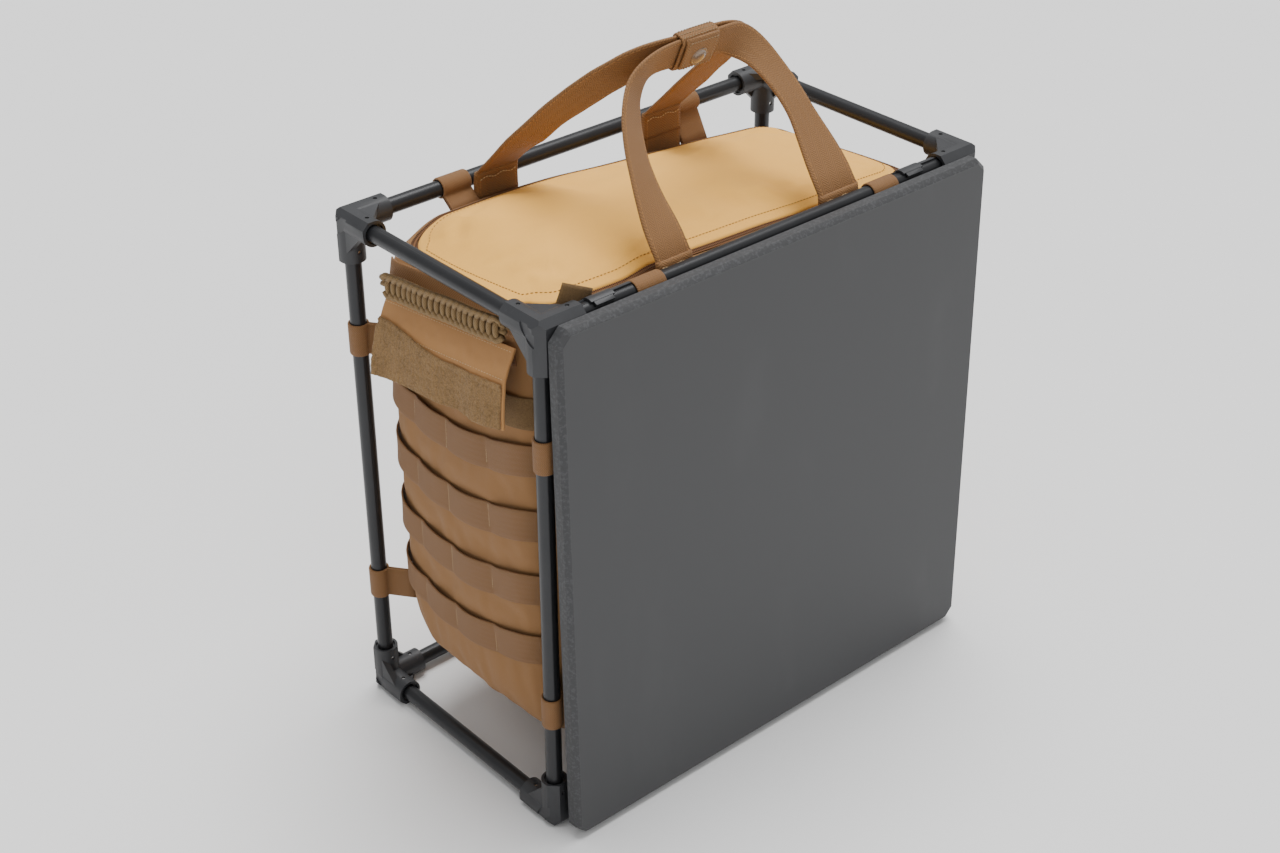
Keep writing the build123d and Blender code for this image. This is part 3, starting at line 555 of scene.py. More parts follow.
def rounded_copy(node, finish, width=0.4, angle=32.0, segments=2):
    """The solid part itself, with its edges rounded."""
    mesh = frame["nodes"][node].data.copy()
    work = bmesh.new()
    work.from_mesh(mesh)
    bmesh.ops.remove_doubles(work, verts=work.verts, dist=2e-6)
    bmesh.ops.dissolve_degenerate(work, edges=work.edges, dist=1e-6)
    bmesh.ops.dissolve_limit(work, angle_limit=math.radians(0.4), verts=work.verts, edges=work.edges)
    work.to_mesh(mesh)
    work.free()
    bevel = ("BEVEL", {"width": width * 0.001, "segments": segments, "limit_method": "ANGLE",
                       "angle_limit": math.radians(angle), "harden_normals": False})
    return adopt("look_" + node, mesh, finish, body_of_node(node), (node,), 38.0, (bevel,))


def strip_section(width, thickness, rows=6):
    """Outline of a strap's cross-section: (across, out) points with rounded edges."""
    half, thin = width / 2, thickness / 2
    top = [(-half + thin + (width - thickness) * k / rows, thin) for k in range(rows + 1)]
    turns = (math.radians(35), 0, math.radians(-35))
    edge = [(half - thin + thin * math.cos(a), thin * math.sin(a)) for a in turns]
    bottom = [(x, -thin) for x, _ in reversed(top)]
    return top + edge + bottom + [(-x, -y) for x, y in edge]


def ring_faces(rings, count, closed=False, ends=False):
    """Quads between rings of count points; closed joins the last to the first, ends covers both."""
    faces = []
    for k in range(rings if closed else rings - 1):
        low, high = k * count, (k + 1) % rings * count
        faces += [(low + j, low + (j + 1) % count, high + (j + 1) % count, high + j) for j in range(count)]
    if ends:
        faces += [tuple(reversed(range(count))), tuple(range((rings - 1) * count, rings * count))]
    return faces


def square_to(out, run):
    """The direction out, turned until it is square to run."""
    return (out - run * out.dot(run)).normalized()


def ribbon(stations, section):
    """Mesh of a section carried along stations of (middle, across, out); returns points, faces, flat."""
    points, flat = [], []
    run = 0.0
    for k, (middle, across, out) in enumerate(stations):
        run += (middle - stations[k - 1][0]).length if k else 0.0
        for a, b in section:
            points.append(middle + across * a + out * b)
            flat.append((run, a))
    return points, ring_faces(len(stations), len(section), ends=True), flat


def joined(meshes):
    """Several (points, faces, flat) meshes as one."""
    points, faces, flat = [], [], []
    for more_points, more_faces, more_flat in meshes:
        start = len(points)
        points += more_points
        flat += more_flat
        faces += [tuple(i + start for i in face) for face in more_faces]
    return points, faces, flat


def tube(line, radius, sides=8):
    """Round cord along a line of points."""
    stations = []
    up = Vector((0.3, 0.2, 1.0))
    for k, spot in enumerate(line):
        along = (line[min(k + 1, len(line) - 1)] - line[max(k - 1, 0)]).normalized()
        side = along.cross(up).normalized()
        up = side.cross(along).normalized()
        stations.append((spot, side, up))
    ring = [(radius * math.cos(math.tau * j / sides), radius * math.sin(math.tau * j / sides))
            for j in range(sides)]
    points, faces, flat = ribbon(stations, ring)
    return points, faces, [(u, radius * math.tau * (i % sides) / sides) for i, (u, _) in enumerate(flat)]


# ------------------------------------------------------------------------------- repeated small pieces
def bead_tree(finish, shape=None):
    """Geometry nodes: a rounded bead, or a shape, on each point, turned by the point's own directions."""
    tree = bpy.data.node_groups.new("Pieces along a path", "GeometryNodeTree")
    face = tree.interface
    face.new_socket("Geometry", in_out="INPUT", socket_type="NodeSocketGeometry")
    for label in ("Length", "Width", "Height"):
        socket = face.new_socket(label, in_out="INPUT", socket_type="NodeSocketFloat")
        socket.default_value = 0.001
    face.new_socket("Geometry", in_out="OUTPUT", socket_type="NodeSocketGeometry")
    nodes, links = tree.nodes, tree.links
    entry, leave = nodes.new("NodeGroupInput"), nodes.new("NodeGroupOutput")
    if shape is None:
        bead = nodes.new("GeometryNodeMeshIcoSphere")
        bead.inputs["Radius"].default_value = 0.5
        bead.inputs["Subdivisions"].default_value = 2
    else:
        bead = nodes.new("GeometryNodeObjectInfo")
        bead.transform_space = "ORIGINAL"
        bead.inputs["Object"].default_value = shape
    sizes = nodes.new("ShaderNodeCombineXYZ")
    directions = nodes.new("FunctionNodeAxesToRotation")
    directions.primary_axis, directions.secondary_axis = "X", "Z"
    for label, socket in (("along", 0), ("up", 1)):
        named = nodes.new("GeometryNodeInputNamedAttribute")
        named.data_type = "FLOAT_VECTOR"
        named.inputs["Name"].default_value = label
        links.new(named.outputs["Attribute"], directions.inputs[socket])
    spread = nodes.new("GeometryNodeInstanceOnPoints")
    real = nodes.new("GeometryNodeRealizeInstances")
    smooth = nodes.new("GeometryNodeSetShadeSmooth")
    paint = nodes.new("GeometryNodeSetMaterial")
    paint.inputs["Material"].default_value = material(finish)
    for k, label in enumerate(("Length", "Width", "Height")):
        links.new(entry.outputs[label], sizes.inputs[k])
    links.new(entry.outputs["Geometry"], spread.inputs["Points"])
    links.new(bead.outputs["Mesh" if shape is None else "Geometry"], spread.inputs["Instance"])
    links.new(directions.outputs[0], spread.inputs["Rotation"])
    links.new(sizes.outputs[0], spread.inputs["Scale"])
    links.new(spread.outputs[0], real.inputs[0])
    links.new(real.outputs[0], smooth.inputs[0])
    links.new(smooth.outputs[0], paint.inputs[0])
    links.new(paint.outputs[0], leave.inputs[0])
    return tree


def beads(name, spots, size, finish, body="frame", stands_for=(), shape=None):
    """A bead of size (length, width, height), or a shape that many times larger, on each spot."""
    mesh = bpy.data.meshes.new(name)
    mesh.from_pydata([place(*spot[0]) for spot in spots], [], [])
    for label, column in (("along", 1), ("up", 2)):
        layer = mesh.attributes.new(label, "FLOAT_VECTOR", "POINT")
        for k, spot in enumerate(spots):
            layer.data[k].vector = spot[column]
    made = added(name, mesh)
    modifier = made.modifiers.new("Beads", "NODES")
    modifier.node_group = bead_tree(finish, shape)
    for item in modifier.node_group.interface.items_tree:
        if item.in_out == "INPUT" and item.name in ("Length", "Width", "Height"):
            scale = size[("Length", "Width", "Height").index(item.name)]
            modifier[item.identifier] = scale if shape else scale * 0.001
    shown = bpy.context.evaluated_depsgraph_get()
    solid = bpy.data.meshes.new_from_object(made.evaluated_get(shown), depsgraph=shown)
    made.modifiers.clear()
    bpy.data.objects.remove(made)
    return adopt(name, solid, finish, body, stands_for)


def spread_along(line, pitch, up):
    """(point, along, up) at even spacing along a line of points."""
    spots = []
    carried = pitch / 2
    for a, b in zip(line, line[1:]):
        length = (b - a).length
        while carried <= length and length > 0:
            spot = a.lerp(b, carried / length)
            spots.append((spot, (b - a).normalized(), up))
            carried += pitch
        carried -= length
    return spots


# ------------------------------------------------------------------------------- the bag's shape
def bag_plan(inset, front, back, end, shift=0.0):
    """Points (x, y, out x, out y) round the bag's plan from its front left corner."""
    length, depth = BAG_HALF_LENGTH - inset, BAG_HALF_DEPTH - inset
    corner = min(max(BAG_CORNER - inset * 0.4, 6.0), depth * 0.98)
    plan = []

    def add(x, y):
        level = min(max((abs(y) - (depth - corner)) / corner, 0.0), 1.0)
        aside = min(max((abs(x) - (length - corner)) / corner, 0.0), 1.0)
        swell = -front if y < 0 else back
        plan.append((x + math.copysign(end * (1 - (y / depth) ** 2) * aside, x),
                     y + swell * (1 - (x / length) ** 2) * level + shift))

    def side(start, finish, steps):
        for k in range(steps):
            t = k / steps
            add(start[0] + (finish[0] - start[0]) * t, start[1] + (finish[1] - start[1]) * t)

    def turn(x, y, first):
        for k in range(CORNER_STEPS):
            a = math.radians(first + 90 * k / CORNER_STEPS)
            add(x + corner * math.cos(a), y + corner * math.sin(a))

    x, y = length - corner, depth - corner
    side((-x, -depth), (x, -depth), LONG_STEPS)
    turn(x, -y, -90)
    side((length, -y), (length, y), SHORT_STEPS)
    turn(x, y, 0)
    side((x, depth), (-x, depth), LONG_STEPS)
    turn(-x, y, 90)
    side((-length, y), (-length, -y), SHORT_STEPS)
    turn(-x, -y, 180)
    return plan


def top_sag(x, y):
    """How far the bag's top edge and lid lie from level."""
    back = ramp(y, -88, 88)
    return table_value(x, FRONT_SAG) * (1 - back) + table_value(x, BACK_SAG) * back


def bag_ring(height, proud=0.0):
    """The bag's outline at a height, grown by proud."""
    inset, share, shift = (table_value(height, BAG_LEVELS, k) for k in (1, 2, 3))
    plan = bag_plan(inset - proud, *(share * b for b in BULGES), shift)
    ring = []
    for x, y in plan:
        lift = top_sag(x, y) * ramp(height, 290, 395)
        ring.append(Vector((x, y, height + lift)))
    return ring


bag_surface = []                                # the finished bag, for what is sewn to it


def wall_reach(side, y, z):
    """How far out the finished end wall stands at y and z."""
    hit = bag_surface[0].ray_cast(place(side * 300, y, z), Vector((-side, 0, 0)))[0]
    return hit.x * 1000 if hit else side * 186.0


def wall_point(side, y, z, proud=0.0):
    """Point on the finished end wall (side -1 or 1) at y and z, evened out, and the way out of the cloth."""
    x = sum(wall_reach(side, y + dy, z + dz) for dy in (-5, 0, 5) for dz in (-6, 0, 6)) / 9
    slope_y = (wall_reach(side, y + 7, z) - wall_reach(side, y - 7, z)) / 14
    slope_z = (wall_reach(side, y, z + 7) - wall_reach(side, y, z - 7)) / 14
    out = Vector((1, -min(max(slope_y, -3), 3), -min(max(slope_z, -1), 1))).normalized() * side
    return Vector((x, y, z)) + out * proud, out


def rim_ring(inset):
    """Outline at the rim, inset from the bag's side; height without the lid's own rise."""
    plan = bag_plan(inset, *(RIM_BULGE * b for b in BULGES))
    return [Vector((x, y, BAG_RIM + top_sag(x, y))) for x, y in plan]


def lid_hinge(x, y):
    """1 where the lid is sewn to the left end wall and has no zip, 0 elsewhere."""
    return ramp(-x, 160, 174) * (1 - ramp(abs(y), 52, 60))


def rings_mesh(rings):
    """Cloth through rings of equal count, with positions from their own lengths, and the length round it."""
    points, flat = [], []
    across = 0.0
    middle = rings[len(rings) // 2]
    runs = [0.0]
    for a, b in zip(middle, middle[1:]):
        runs.append(runs[-1] + (b - a).length)
    wrap = runs[-1] + (middle[0] - middle[-1]).length
    for k, ring in enumerate(rings):
        across += (ring[0] - rings[k - 1][0]).length if k else 0.0
        points += ring
        flat += [(run, across) for run in runs]
    return (points, ring_faces(len(rings), len(middle)), flat), wrap


def swell(mesh, pinned, pressure, grow, cap, frames=20, stiff=15.0):
    """Cloth simulation: pinned(point) points stay, the rest fills out by at most cap millimetres."""
    loose = added("loose cloth", mesh)
    group = loose.vertex_groups.new(name="held")
    before = [v.co.copy() for v in mesh.vertices]
    for v in mesh.vertices:
        hold = pinned(v.co * 1000 - Vector((0, Y_SHIFT, 0)))
        if hold > 0:
            group.add([v.index], hold, "REPLACE")
    cloth = loose.modifiers.new("Cloth", "CLOTH")
    cloth.settings.vertex_group_mass = "held"
    cloth.settings.use_pressure = True
    cloth.settings.uniform_pressure_force = pressure
    cloth.settings.effector_weights.gravity = 0
    cloth.settings.shrink_min = -grow
    cloth.settings.tension_stiffness = cloth.settings.compression_stiffness = stiff
    cloth.settings.bending_stiffness = 0.4
    cloth.settings.quality = 6
    cloth.point_cache.frame_end = frames
    scene = bpy.context.scene
    for number in range(1, frames + 1):
        scene.frame_set(number)
    shown = loose.evaluated_get(bpy.context.evaluated_depsgraph_get()).data
    moved = [v.co.copy() for v in shown.vertices]
    bpy.data.objects.remove(loose)
    scene.frame_set(1)
    for v, old, new in zip(mesh.vertices, before, moved):
        shift = new - old
        length = shift.length
        if length > 0:
            v.co = old + shift * (cap * 0.001 * math.tanh(length / (cap * 0.001)) / length)


# ------------------------------------------------------------------------------- pieces
def build_poles():
    for node in frame["nodes"]:
        if node.startswith("pole_"):
            rounded_copy(node, "tube", 0.25, 40)


def build_hubs():
    for node in frame["nodes"]:
        if node.startswith("hub_") and node != "hub_pins":
            rounded_copy(node, "hub", millimetres("edge_round"), 30, 3)
    rounded_copy("hub_pins", "pin", 0.25, 40)


def build_board():
    rounded_copy("table_board", "board", 0.8, 30, 3)


def build_clips():
    for node in ("board_clip_left", "board_clip_right"):
        rounded_copy(node, "clip", 0.35, 30)
    rounded_copy("clip_screws", "screw", 0.3, 40)


def behind_board(point):
    """The point, moved back where it would touch the board."""
    limit = -HALF_DEPTH - BOARD_GAP - (HIGH - point.z) * math.tan(BOARD_LEAN) + 1.2
    return Vector((point.x, max(point.y, limit), point.z))


def held_cloth(p):
    """How firmly the bag's cloth is held: at its rim, floor, loops and the rows sewn on its ends."""
    if not 60 <= p.z <= 380:
        return 1.0
    if abs(p.x) > 150 and abs(p.y) > 62 and abs(abs(p.z - (LOW + HIGH) / 2) - LOOP_HEIGHTS) < 13:
        return 1.0
    if abs(p.x) > 160 and (under_row(p.y, p.z) > 0.05 or p.z > 305):
        return 1.0
    return 0.0


def under_row(y, z):
    """1 behind a row of webbing, 0 midway between two."""
    above = min(abs(z - height - table_value(y, ROW_LINE) - ROW_MIDDLE) for height in ROW_HEIGHTS)
    return 1 - ramp(above, 12, 18)


def build_bag():
    heights = [41, 48] + [54 + 6.55 * k for k in range(51)] + [386, 390, 393.5, 396.5, 399, 400.4]
    floor = [[Vector((p.x * f, (p.y + 12) * f - 12, BAG_FLOOR + 3 * (f - 0.9))) for p in bag_ring(heights[0])]
             for f in (0.02, 0.15, 0.35, 0.55, 0.75, 0.9)]
    rim = [p - UP * 0.6 for p in rim_ring(ZIP_MIDDLE - ZIP_WIDTH / 2 + 0.2)]
    rings = floor + [bag_ring(h) for h in heights] + [rim]
    for ring in rings:
        for k, p in enumerate(ring):
            if 60 < p.z < 392:
                grain = Vector((p.x / 42, p.y / 42, p.z / 60))
                out = Vector((p.x / 190 ** 2, p.y / 90 ** 2, 0)).normalized()
                fold = 2.2 * noise.noise(Vector((p.y / 10, 3.0, p.z / 70))) * ramp(abs(p.x), 150, 180)
                fold *= (1 - under_row(p.y, p.z)) * ramp(-p.z, -330, -280)
                ring[k] = behind_board(p + out * (1.3 * noise.noise(grain) + fold))
    shape, wrap = rings_mesh(rings)
    mesh = raw_mesh("bag shell", *shape, wrap=wrap)
    swell(mesh, held_cloth, 3.0, 0.012, millimetres("cloth_swell"))
    for v in mesh.vertices:
        v.co = place(*behind_board(v.co * 1000 - Vector((0, Y_SHIFT, 0))))
    bag_surface.append(BVHTree.FromPolygons([v.co.copy() for v in mesh.vertices],
                                            [tuple(f.vertices) for f in mesh.polygons]))
    # the shell's cloth is darker than the lid's by painted shade
    adopt("bag_shell", mesh, "wall cloth", "frame", ("bag_body",), None,
          (FINER, wall(millimetres("cloth_thickness"), -1)))


def lid_ring(step):
    """The lid's outline at an inset from the zip's inner edge; the last one closes to a line."""
    inset = ZIP_MIDDLE + ZIP_WIDTH / 2 - 1.0 + step
    plan = bag_plan(min(inset, 88.5), *(RIM_BULGE * b for b in BULGES))
    if step == LID_STEPS[-1]:
        plan = [(x, -1.6) for x, _ in plan]
    ring = []
    for x, y in plan:
        hinge = lid_hinge(x, y) * (1 - ramp(step, 4, 22))
        x -= 11.5 * hinge
        rise = table_value(step, LID_RISE)
        wave = 3.4 * noise.noise(Vector((x / 75, y / 38, 3.0)))
        wave += 1.5 * noise.noise(Vector((x / 30, y / 18, 8.0)))
        fold = 1.3 * noise.noise(Vector(((x + 0.8 * y) / 46, (y - 0.5 * x) / 15, 11.0))) * ramp(x, -90, 20)
        rise += (wave + fold - 1.6) * ramp(step, 6, 30)
        ring.append(Vector((x, y, BAG_RIM + rise * (1 - 0.35 * hinge) + top_sag(x, y))))
    return ring


def build_lid():
    rings = [lid_ring(step) for step in LID_STEPS]
    shape, wrap = rings_mesh([[p - UP * 1.6 for p in rings[0]]] + rings)
    mesh = raw_mesh("lid", *shape, wrap=wrap, merge=0.05)

    def held(p):
        return 1.0 if min(BAG_HALF_LENGTH - abs(p.x), BAG_HALF_DEPTH - abs(p.y)) < 27 else 0.0

    swell(mesh, held, 1.2, 0.02, 2.6)
    # the lid's cloth is paler than the walls' by painted light from above
    adopt("lid", mesh, "cloth", "frame", ("bag_lid",), None, (FINER, wall(1.2, -1)))
    line = [p + UP * 0.35 for p in lid_ring(LID_SEAM)]
    beads("lid_stitches", spread_along(line + line[:1], 3.1, UP), (millimetres("stitch_length"), 0.7, 0.5),
          "seam thread")


def build_lid_zip():
    def zip_line(inset, up):
        line = [p + UP * up for p in rim_ring(inset)]
        start = min(range(len(line)), key=lambda k: (line[k].x + 186) ** 2 + line[k].y ** 2)
        return [p for p in line[start:] + line[:start] if lid_hinge(p.x, p.y) < 0.5]

    stations = [(a, (b - a).normalized(), UP)
                for a, b in zip(zip_line(ZIP_MIDDLE, 0.4), zip_line(ZIP_MIDDLE + 1, 0.4))]
    piece("lid_zip_tapes", ribbon(stations, strip_section(ZIP_WIDTH + 1.0, 0.8, 4)), "tape", "zip_brown",
          "frame", ("lid_zip",))
    spots = []
    for inset, shift in ((ZIP_MIDDLE - COIL_APART, 0.0), (ZIP_MIDDLE + COIL_APART, 0.7)):
        line = zip_line(inset, 1.0)
        line[0] = line[0].lerp(line[1], shift / 4)
        spots += spread_along(line, millimetres("coil_pitch"), UP)
    beads("lid_zip_coil", spots, (1.0, 2.3, 1.3), "coil")


def strap_loop(middle, axis, toward, thickness=1.7, radius=7.0):
    """Webbing round a pole: its two tails run from the pole towards a point on the bag."""
    reach = toward - middle
    reach -= axis * reach.dot(axis)
    along = reach.normalized()
    side = axis.cross(along)
    half = 0.97                                 # from the middle of one tail to the face where both meet
    start = math.asin(half / radius)
    line = [along * t + side * half for t in (reach.length + 2.0, reach.length * 0.75, reach.length * 0.5)]
    for k in range(19):
        a = start + (math.tau - 2 * start) * k / 18
        line.append(along * (radius * math.cos(a)) + side * (radius * math.sin(a)))
    line += [along * t - side * half for t in (reach.length * 0.5, reach.length * 0.75, reach.length + 2.0)]
    stations = []
    for k, spot in enumerate(line):
        run = (line[min(k + 1, len(line) - 1)] - line[max(k - 1, 0)]).normalized()
        stations.append((middle + spot, axis, axis.cross(run)))
    return ribbon(stations, strip_section(millimetres("webbing_width"), thickness, 5))


def build_loops():
    for y_sign, y_name in ((-1, "front"), (1, "back")):
        for x_sign, x_name in ((-1, "left"), (1, "right")):
            pair = []
            for z_sign in (-1, 1):
                spot = Vector((x_sign * HALF_WIDTH, y_sign * HALF_DEPTH,
                               (LOW + HIGH) / 2 + z_sign * LOOP_HEIGHTS))
                ring = [p for p in bag_ring(spot.z) if p.x * x_sign > 0 and p.y * y_sign > 0]
                aim = min(ring, key=lambda p: (p - spot).length)
                pair.append(strap_loop(spot, UP, aim))
            node = f"loops_{y_name}_{x_name}"
            piece("look_" + node, joined(pair), "webbing", "webbing_tan", "frame", (node,))
        pair = []
        for x_sign in (-1, 1):
            spot = Vector((x_sign * TOP_LOOP_X, y_sign * HALF_DEPTH, HIGH))
            ring = [p for p in bag_ring(394) if p.y * y_sign > 0]
            aim = min(ring, key=lambda p: abs(p.x - spot.x)).copy()
            aim.x = spot.x
            pair.append(strap_loop(spot, ACROSS, aim))
        node = f"loops_top_{y_name}"
        piece("look_" + node, joined(pair), "webbing", "webbing_tan", "frame", (node,))


def row_swell(y):
    """How far the webbing stands off the bag at y: it is sewn down at its seams."""
    seams = sorted(SEAM_YS + (ROW_END, -ROW_END))
    for a, b in zip(seams, seams[1:]):
        if a <= y <= b:
            t = (y - a) / (b - a)
            return millimetres("row_swell") * math.sin(math.pi * t) ** 0.7 * min(1.0, (b - a) / 40)
    return 0.0


def build_rows():
    section = strip_section(millimetres("webbing_width"), millimetres("webbing_thickness"), 8)
    for side, name in ((-1, "left"), (1, "right")):
        bands, spots = [], []
        for height in ROW_HEIGHTS:
            stations = []
            for k in range(85):
                y = 84.5 - 2.0 * k
                middle = height + table_value(y, ROW_LINE) + ROW_MIDDLE
                spot, out = wall_point(side, y, middle, 1.0 + row_swell(y))
                slope = (table_value(y + 1, ROW_LINE) - table_value(y - 1, ROW_LINE)) / 2
                run = Vector((0, 1, slope)).normalized()
                out = square_to(out, run)
                stations.append((spot, out.cross(run) * side, out))
            bands.append(ribbon(stations, section))
            for seam in SEAM_YS:
                low = height + table_value(seam, ROW_LINE) + 1.6
                for k in range(14):
                    spot, out = wall_point(side, seam, low + 1.65 * k, 1.95)
                    spots.append((spot, Vector((0, 0.6 if k % 2 else -0.6, 1)).normalized(), out))
        piece(f"attachment_rows_{name}", joined(bands), "webbing", "webbing_tan", "frame",
              (f"molle_webbing_{name}",))
        beads(f"row_stitches_{name}", spots, (1.9, 0.6, 0.45), "row thread")


def end_point(side, out, y, z):
    """Point in the tilted frame of an end's pocket: out from the hinge, along it and up from it."""
    c, s = math.cos(END_TILT), math.sin(END_TILT)
    return Vector((side * (FLAP_HINGE[0] + out), y * c + z * s, FLAP_HINGE[1] - y * s + z * c))


def pocket_wall(side, y, z, proud):
    """Point on the finished end wall, given in its pocket's frame, and the way out of the cloth."""
    spot = end_point(side, 0, y, z)
    return wall_point(side, spot.y, spot.z, proud)


def wall_stations(side, ys, z, proud):
    """Stations of a strip that lies on an end wall along its pocket."""
    stations = []
    for y in ys:
        spot, out = pocket_wall(side, y, z, proud)
        out = square_to(out, END_RUN)
        stations.append((spot, out.cross(END_RUN) * side, out))
    return stations


def flap_profile(run):
    """(out, up) at a distance run down the flap, which leans out by 31, then 14 and at last 8 degrees."""
    steps = 24
    out, up = 1.0, 0.0
    for k in range(steps):
        at = run * (k + 0.5) / steps
        a = math.radians(31 - 17 * ramp(at, 18, 30) - 6 * ramp(at, 36, 57))
        out += run / steps * math.sin(a)
        up -= run / steps * math.cos(a)
    return out, up


def flap_sheet(side, first, last, offset, fuzz, half=FLAP_HALF, pitch=1.6):
    """Grid of one layer of the flap between two distances down it."""
    columns = int(2 * half / pitch)
    rows = max(int((last - first) / pitch), 2)
    points, flat, faces = [], [], []
    for r in range(rows + 1):
        for c in range(columns + 1):
            y = -half + 2 * half * c / columns
            start = first - (11 * ramp(y, -10, 70) if fuzz else 0)
            run = start + (last - start) * r / rows
            out, up = flap_profile(run)
            low = ramp(run, 10, 57)
            wave = (3.0 * noise.noise(Vector((y / 24, run / 90, 2.0 + side))) +
                    1.1 * math.sin(y / 9.5 + side + run / 40)) * low
            pucker = 0.5 * noise.noise(Vector((y / 7, run / 9, 4.0))) * ramp(run, 2, 12)
            curl = 5.0 * ramp(y, 50, 73) * low - 3.0 * ramp(-y, 56, 73) * low
            ridge = 0.9 * (1 - ramp(abs(run - start - 1.5), 0, 2.5)) if fuzz else 0.0
            lift = 1.6 * noise.noise(Vector((y / 30, 7.0, 0.0))) + 1.2 * ramp(y, 45, 73)
            rough = fuzz * (noise.noise(Vector((y / 2.3, run / 2.3, 5.0))) +
                            0.7 * noise.noise(Vector((y / 1.1, run / 1.1, 9.0)))) if fuzz else 0.0
            out += offset + wave * 0.75 + pucker + curl * 0.5 + rough + ridge - low
            points.append(end_point(side, out, y, up + lift * low))
            flat.append((y, run))
    for r in range(rows):
        for c in range(columns):
            a = r * (columns + 1) + c
            faces.append((a, a + 1, a + columns + 2, a + columns + 1))
    return points, faces, flat


def wall_band(name, side, ys, z_low, z_high, thickness, finish, slot, node):
    """Strip of cloth lying on an end wall in the pocket's tilted frame."""
    low, high = ys
    steps = int((high - low) / 2.5)
    stations = wall_stations(side, [high + (low - high) * k / steps for k in range(steps + 1)],
                             (z_low + z_high) / 2, 0.7 + thickness / 2)
    piece(name, ribbon(stations, strip_section(z_high - z_low, thickness, 8)), finish, slot, "frame", (node,))


def build_flap(side, name):
    """One pocket's flap, hemmed by two rows of stitches, with its pile."""
    hem = ("BEVEL", {"width": 0.0006, "segments": 2, "limit_method": "ANGLE", "angle_limit": 0.9})
    # the flap's cloth is darker than the lid's by painted shade, though lighter than the walls'
    flap = piece(f"pocket_flap_{name}_cloth", flap_sheet(side, 0, FLAP_DROP, 1.8, 0.0), "flap cloth",
                 "cloth_tan", f"{name}_flap", (f"pocket_flap_{name}",), None, (wall(2.2), hem))
    piece(f"flap_pile_{name}", flap_sheet(side, 25, FLAP_DROP - 1, 3.7, 0.8, FLAP_HALF - 1.5, 0.9), "pile",
          "pile_tape", f"{name}_flap", (f"flap_tape_{name}",), None, (wall(millimetres("pile_height")),))
    spots = []
    for run in (21.5, 2.5):
        out, up = flap_profile(run)
        line = [end_point(side, out + 3.0, -71.5 + 143 * k / 73, up) for k in range(74)]
        spots += spread_along(line, 3.0, Vector((side, 0, 0.4)).normalized())
    beads(f"flap_stitches_{name}", spots, (2.2, 0.6, 0.5), "thread", f"{name}_flap")


def build_pocket_zip(side, name):
    """The tapes and coil of the zip under a flap."""
    stations = []
    for k in range(45):
        spot, out = pocket_wall(side, 66 - 3 * k, POCKET_ZIP_HEIGHT, 0.9)
        spot.x = side * min(abs(spot.x), POCKET_ZIP_OUT)
        stations.append((spot, END_RISE, square_to(out, END_RISE)))
    piece(f"pocket_zip_{name}_tapes", ribbon(stations, strip_section(7.5, 0.9, 4)), "tape", "zip_brown",
          "frame", (f"pocket_zip_{name}",))
    spots = []
    for shift in (-1.1, 1.1):
        line = [spot + out * 0.6 + UP * shift for spot, _, out in stations]
        spots += spread_along(line, 1.3, ACROSS * side)
    beads(f"pocket_zip_{name}_coil", spots, (0.9, 2.2, 1.0), "coil")


def build_pockets():
    for side, name in ((-1, "left"), (1, "right")):
        build_flap(side, name)
        build_pocket_zip(side, name)
        wall_band(f"hook_band_{name}", side, (-77, 68), -62, -38, 1.2, "hook", "pile_tape",
                  f"hook_tape_{name}")
    wall_band("end_strip_webbing", -1, (-78, 76), 3.5, 25.5, 1.6, "strap", "webbing_tan", "end_strip")


def knot_shape(pitch):
    """One knot of the bar: a turn of cord over it and a loop that overlaps the last one on each long edge."""
    radius = millimetres("cord_radius")
    bar = []
    for k in range(21):
        a = math.tau * k / 20 - math.pi / 2
        deep = 3.6 * math.copysign(abs(math.cos(a)) ** 0.55, math.cos(a))
        bar.append(Vector((0.55 * math.sin(a), 1.2 + 5.0 * math.sin(a), deep)))
    lines = [bar]
    for edge, low in ((-1, 0.0), (1, 1.4)):
        lines.append([Vector((pitch * t, edge * (4.3 + 3.1 * math.cos(t * 2.2)) + low,
                              2.6 + 1.5 * t + math.cos(t * 2.4)))
                      for t in (-0.72, -0.5, -0.25, 0.0, 0.25, 0.5, 0.72)])
    points, faces, flat = joined([tube(line, radius, 9) for line in lines])
    return added("knot", raw_mesh("knot", [p - Vector((0, Y_SHIFT, 0)) for p in points], faces, flat))


def build_grab_handle():
    """Bar of knotted cord over two straight ones."""
    pitch = millimetres("knot_pitch")
    knot = knot_shape(pitch)
    spots = []
    for k in range(int(2 * HANDLE_HALF / pitch)):
        y = -HANDLE_HALF + pitch * (k + 0.5)
        spots.append((end_point(-1, HANDLE_OUT + 0.5 * math.sin(y / 9), y, HANDLE_HEIGHT), END_RUN, -ACROSS))
    beads("grab_handle_knots", spots, (1, 1, 1), "cord", "end_grip", (), knot)
    bpy.data.objects.remove(knot)
    core = [[end_point(-1, HANDLE_OUT, y, HANDLE_HEIGHT + z) for y in range(-70, 71, 5)] for z in (-2.4, 2.4)]
    ends = [[end_point(-1, HANDLE_OUT - 6.0 * ramp(k, 0, 6), sign * (66 + k), HANDLE_HEIGHT)
             for k in range(7)] for sign in (-1, 1)]
    piece("grab_handle_core", joined([tube(line, 1.9) for line in core + ends]), "cord", "paracord_tan",
          "end_grip", ("end_handle",))


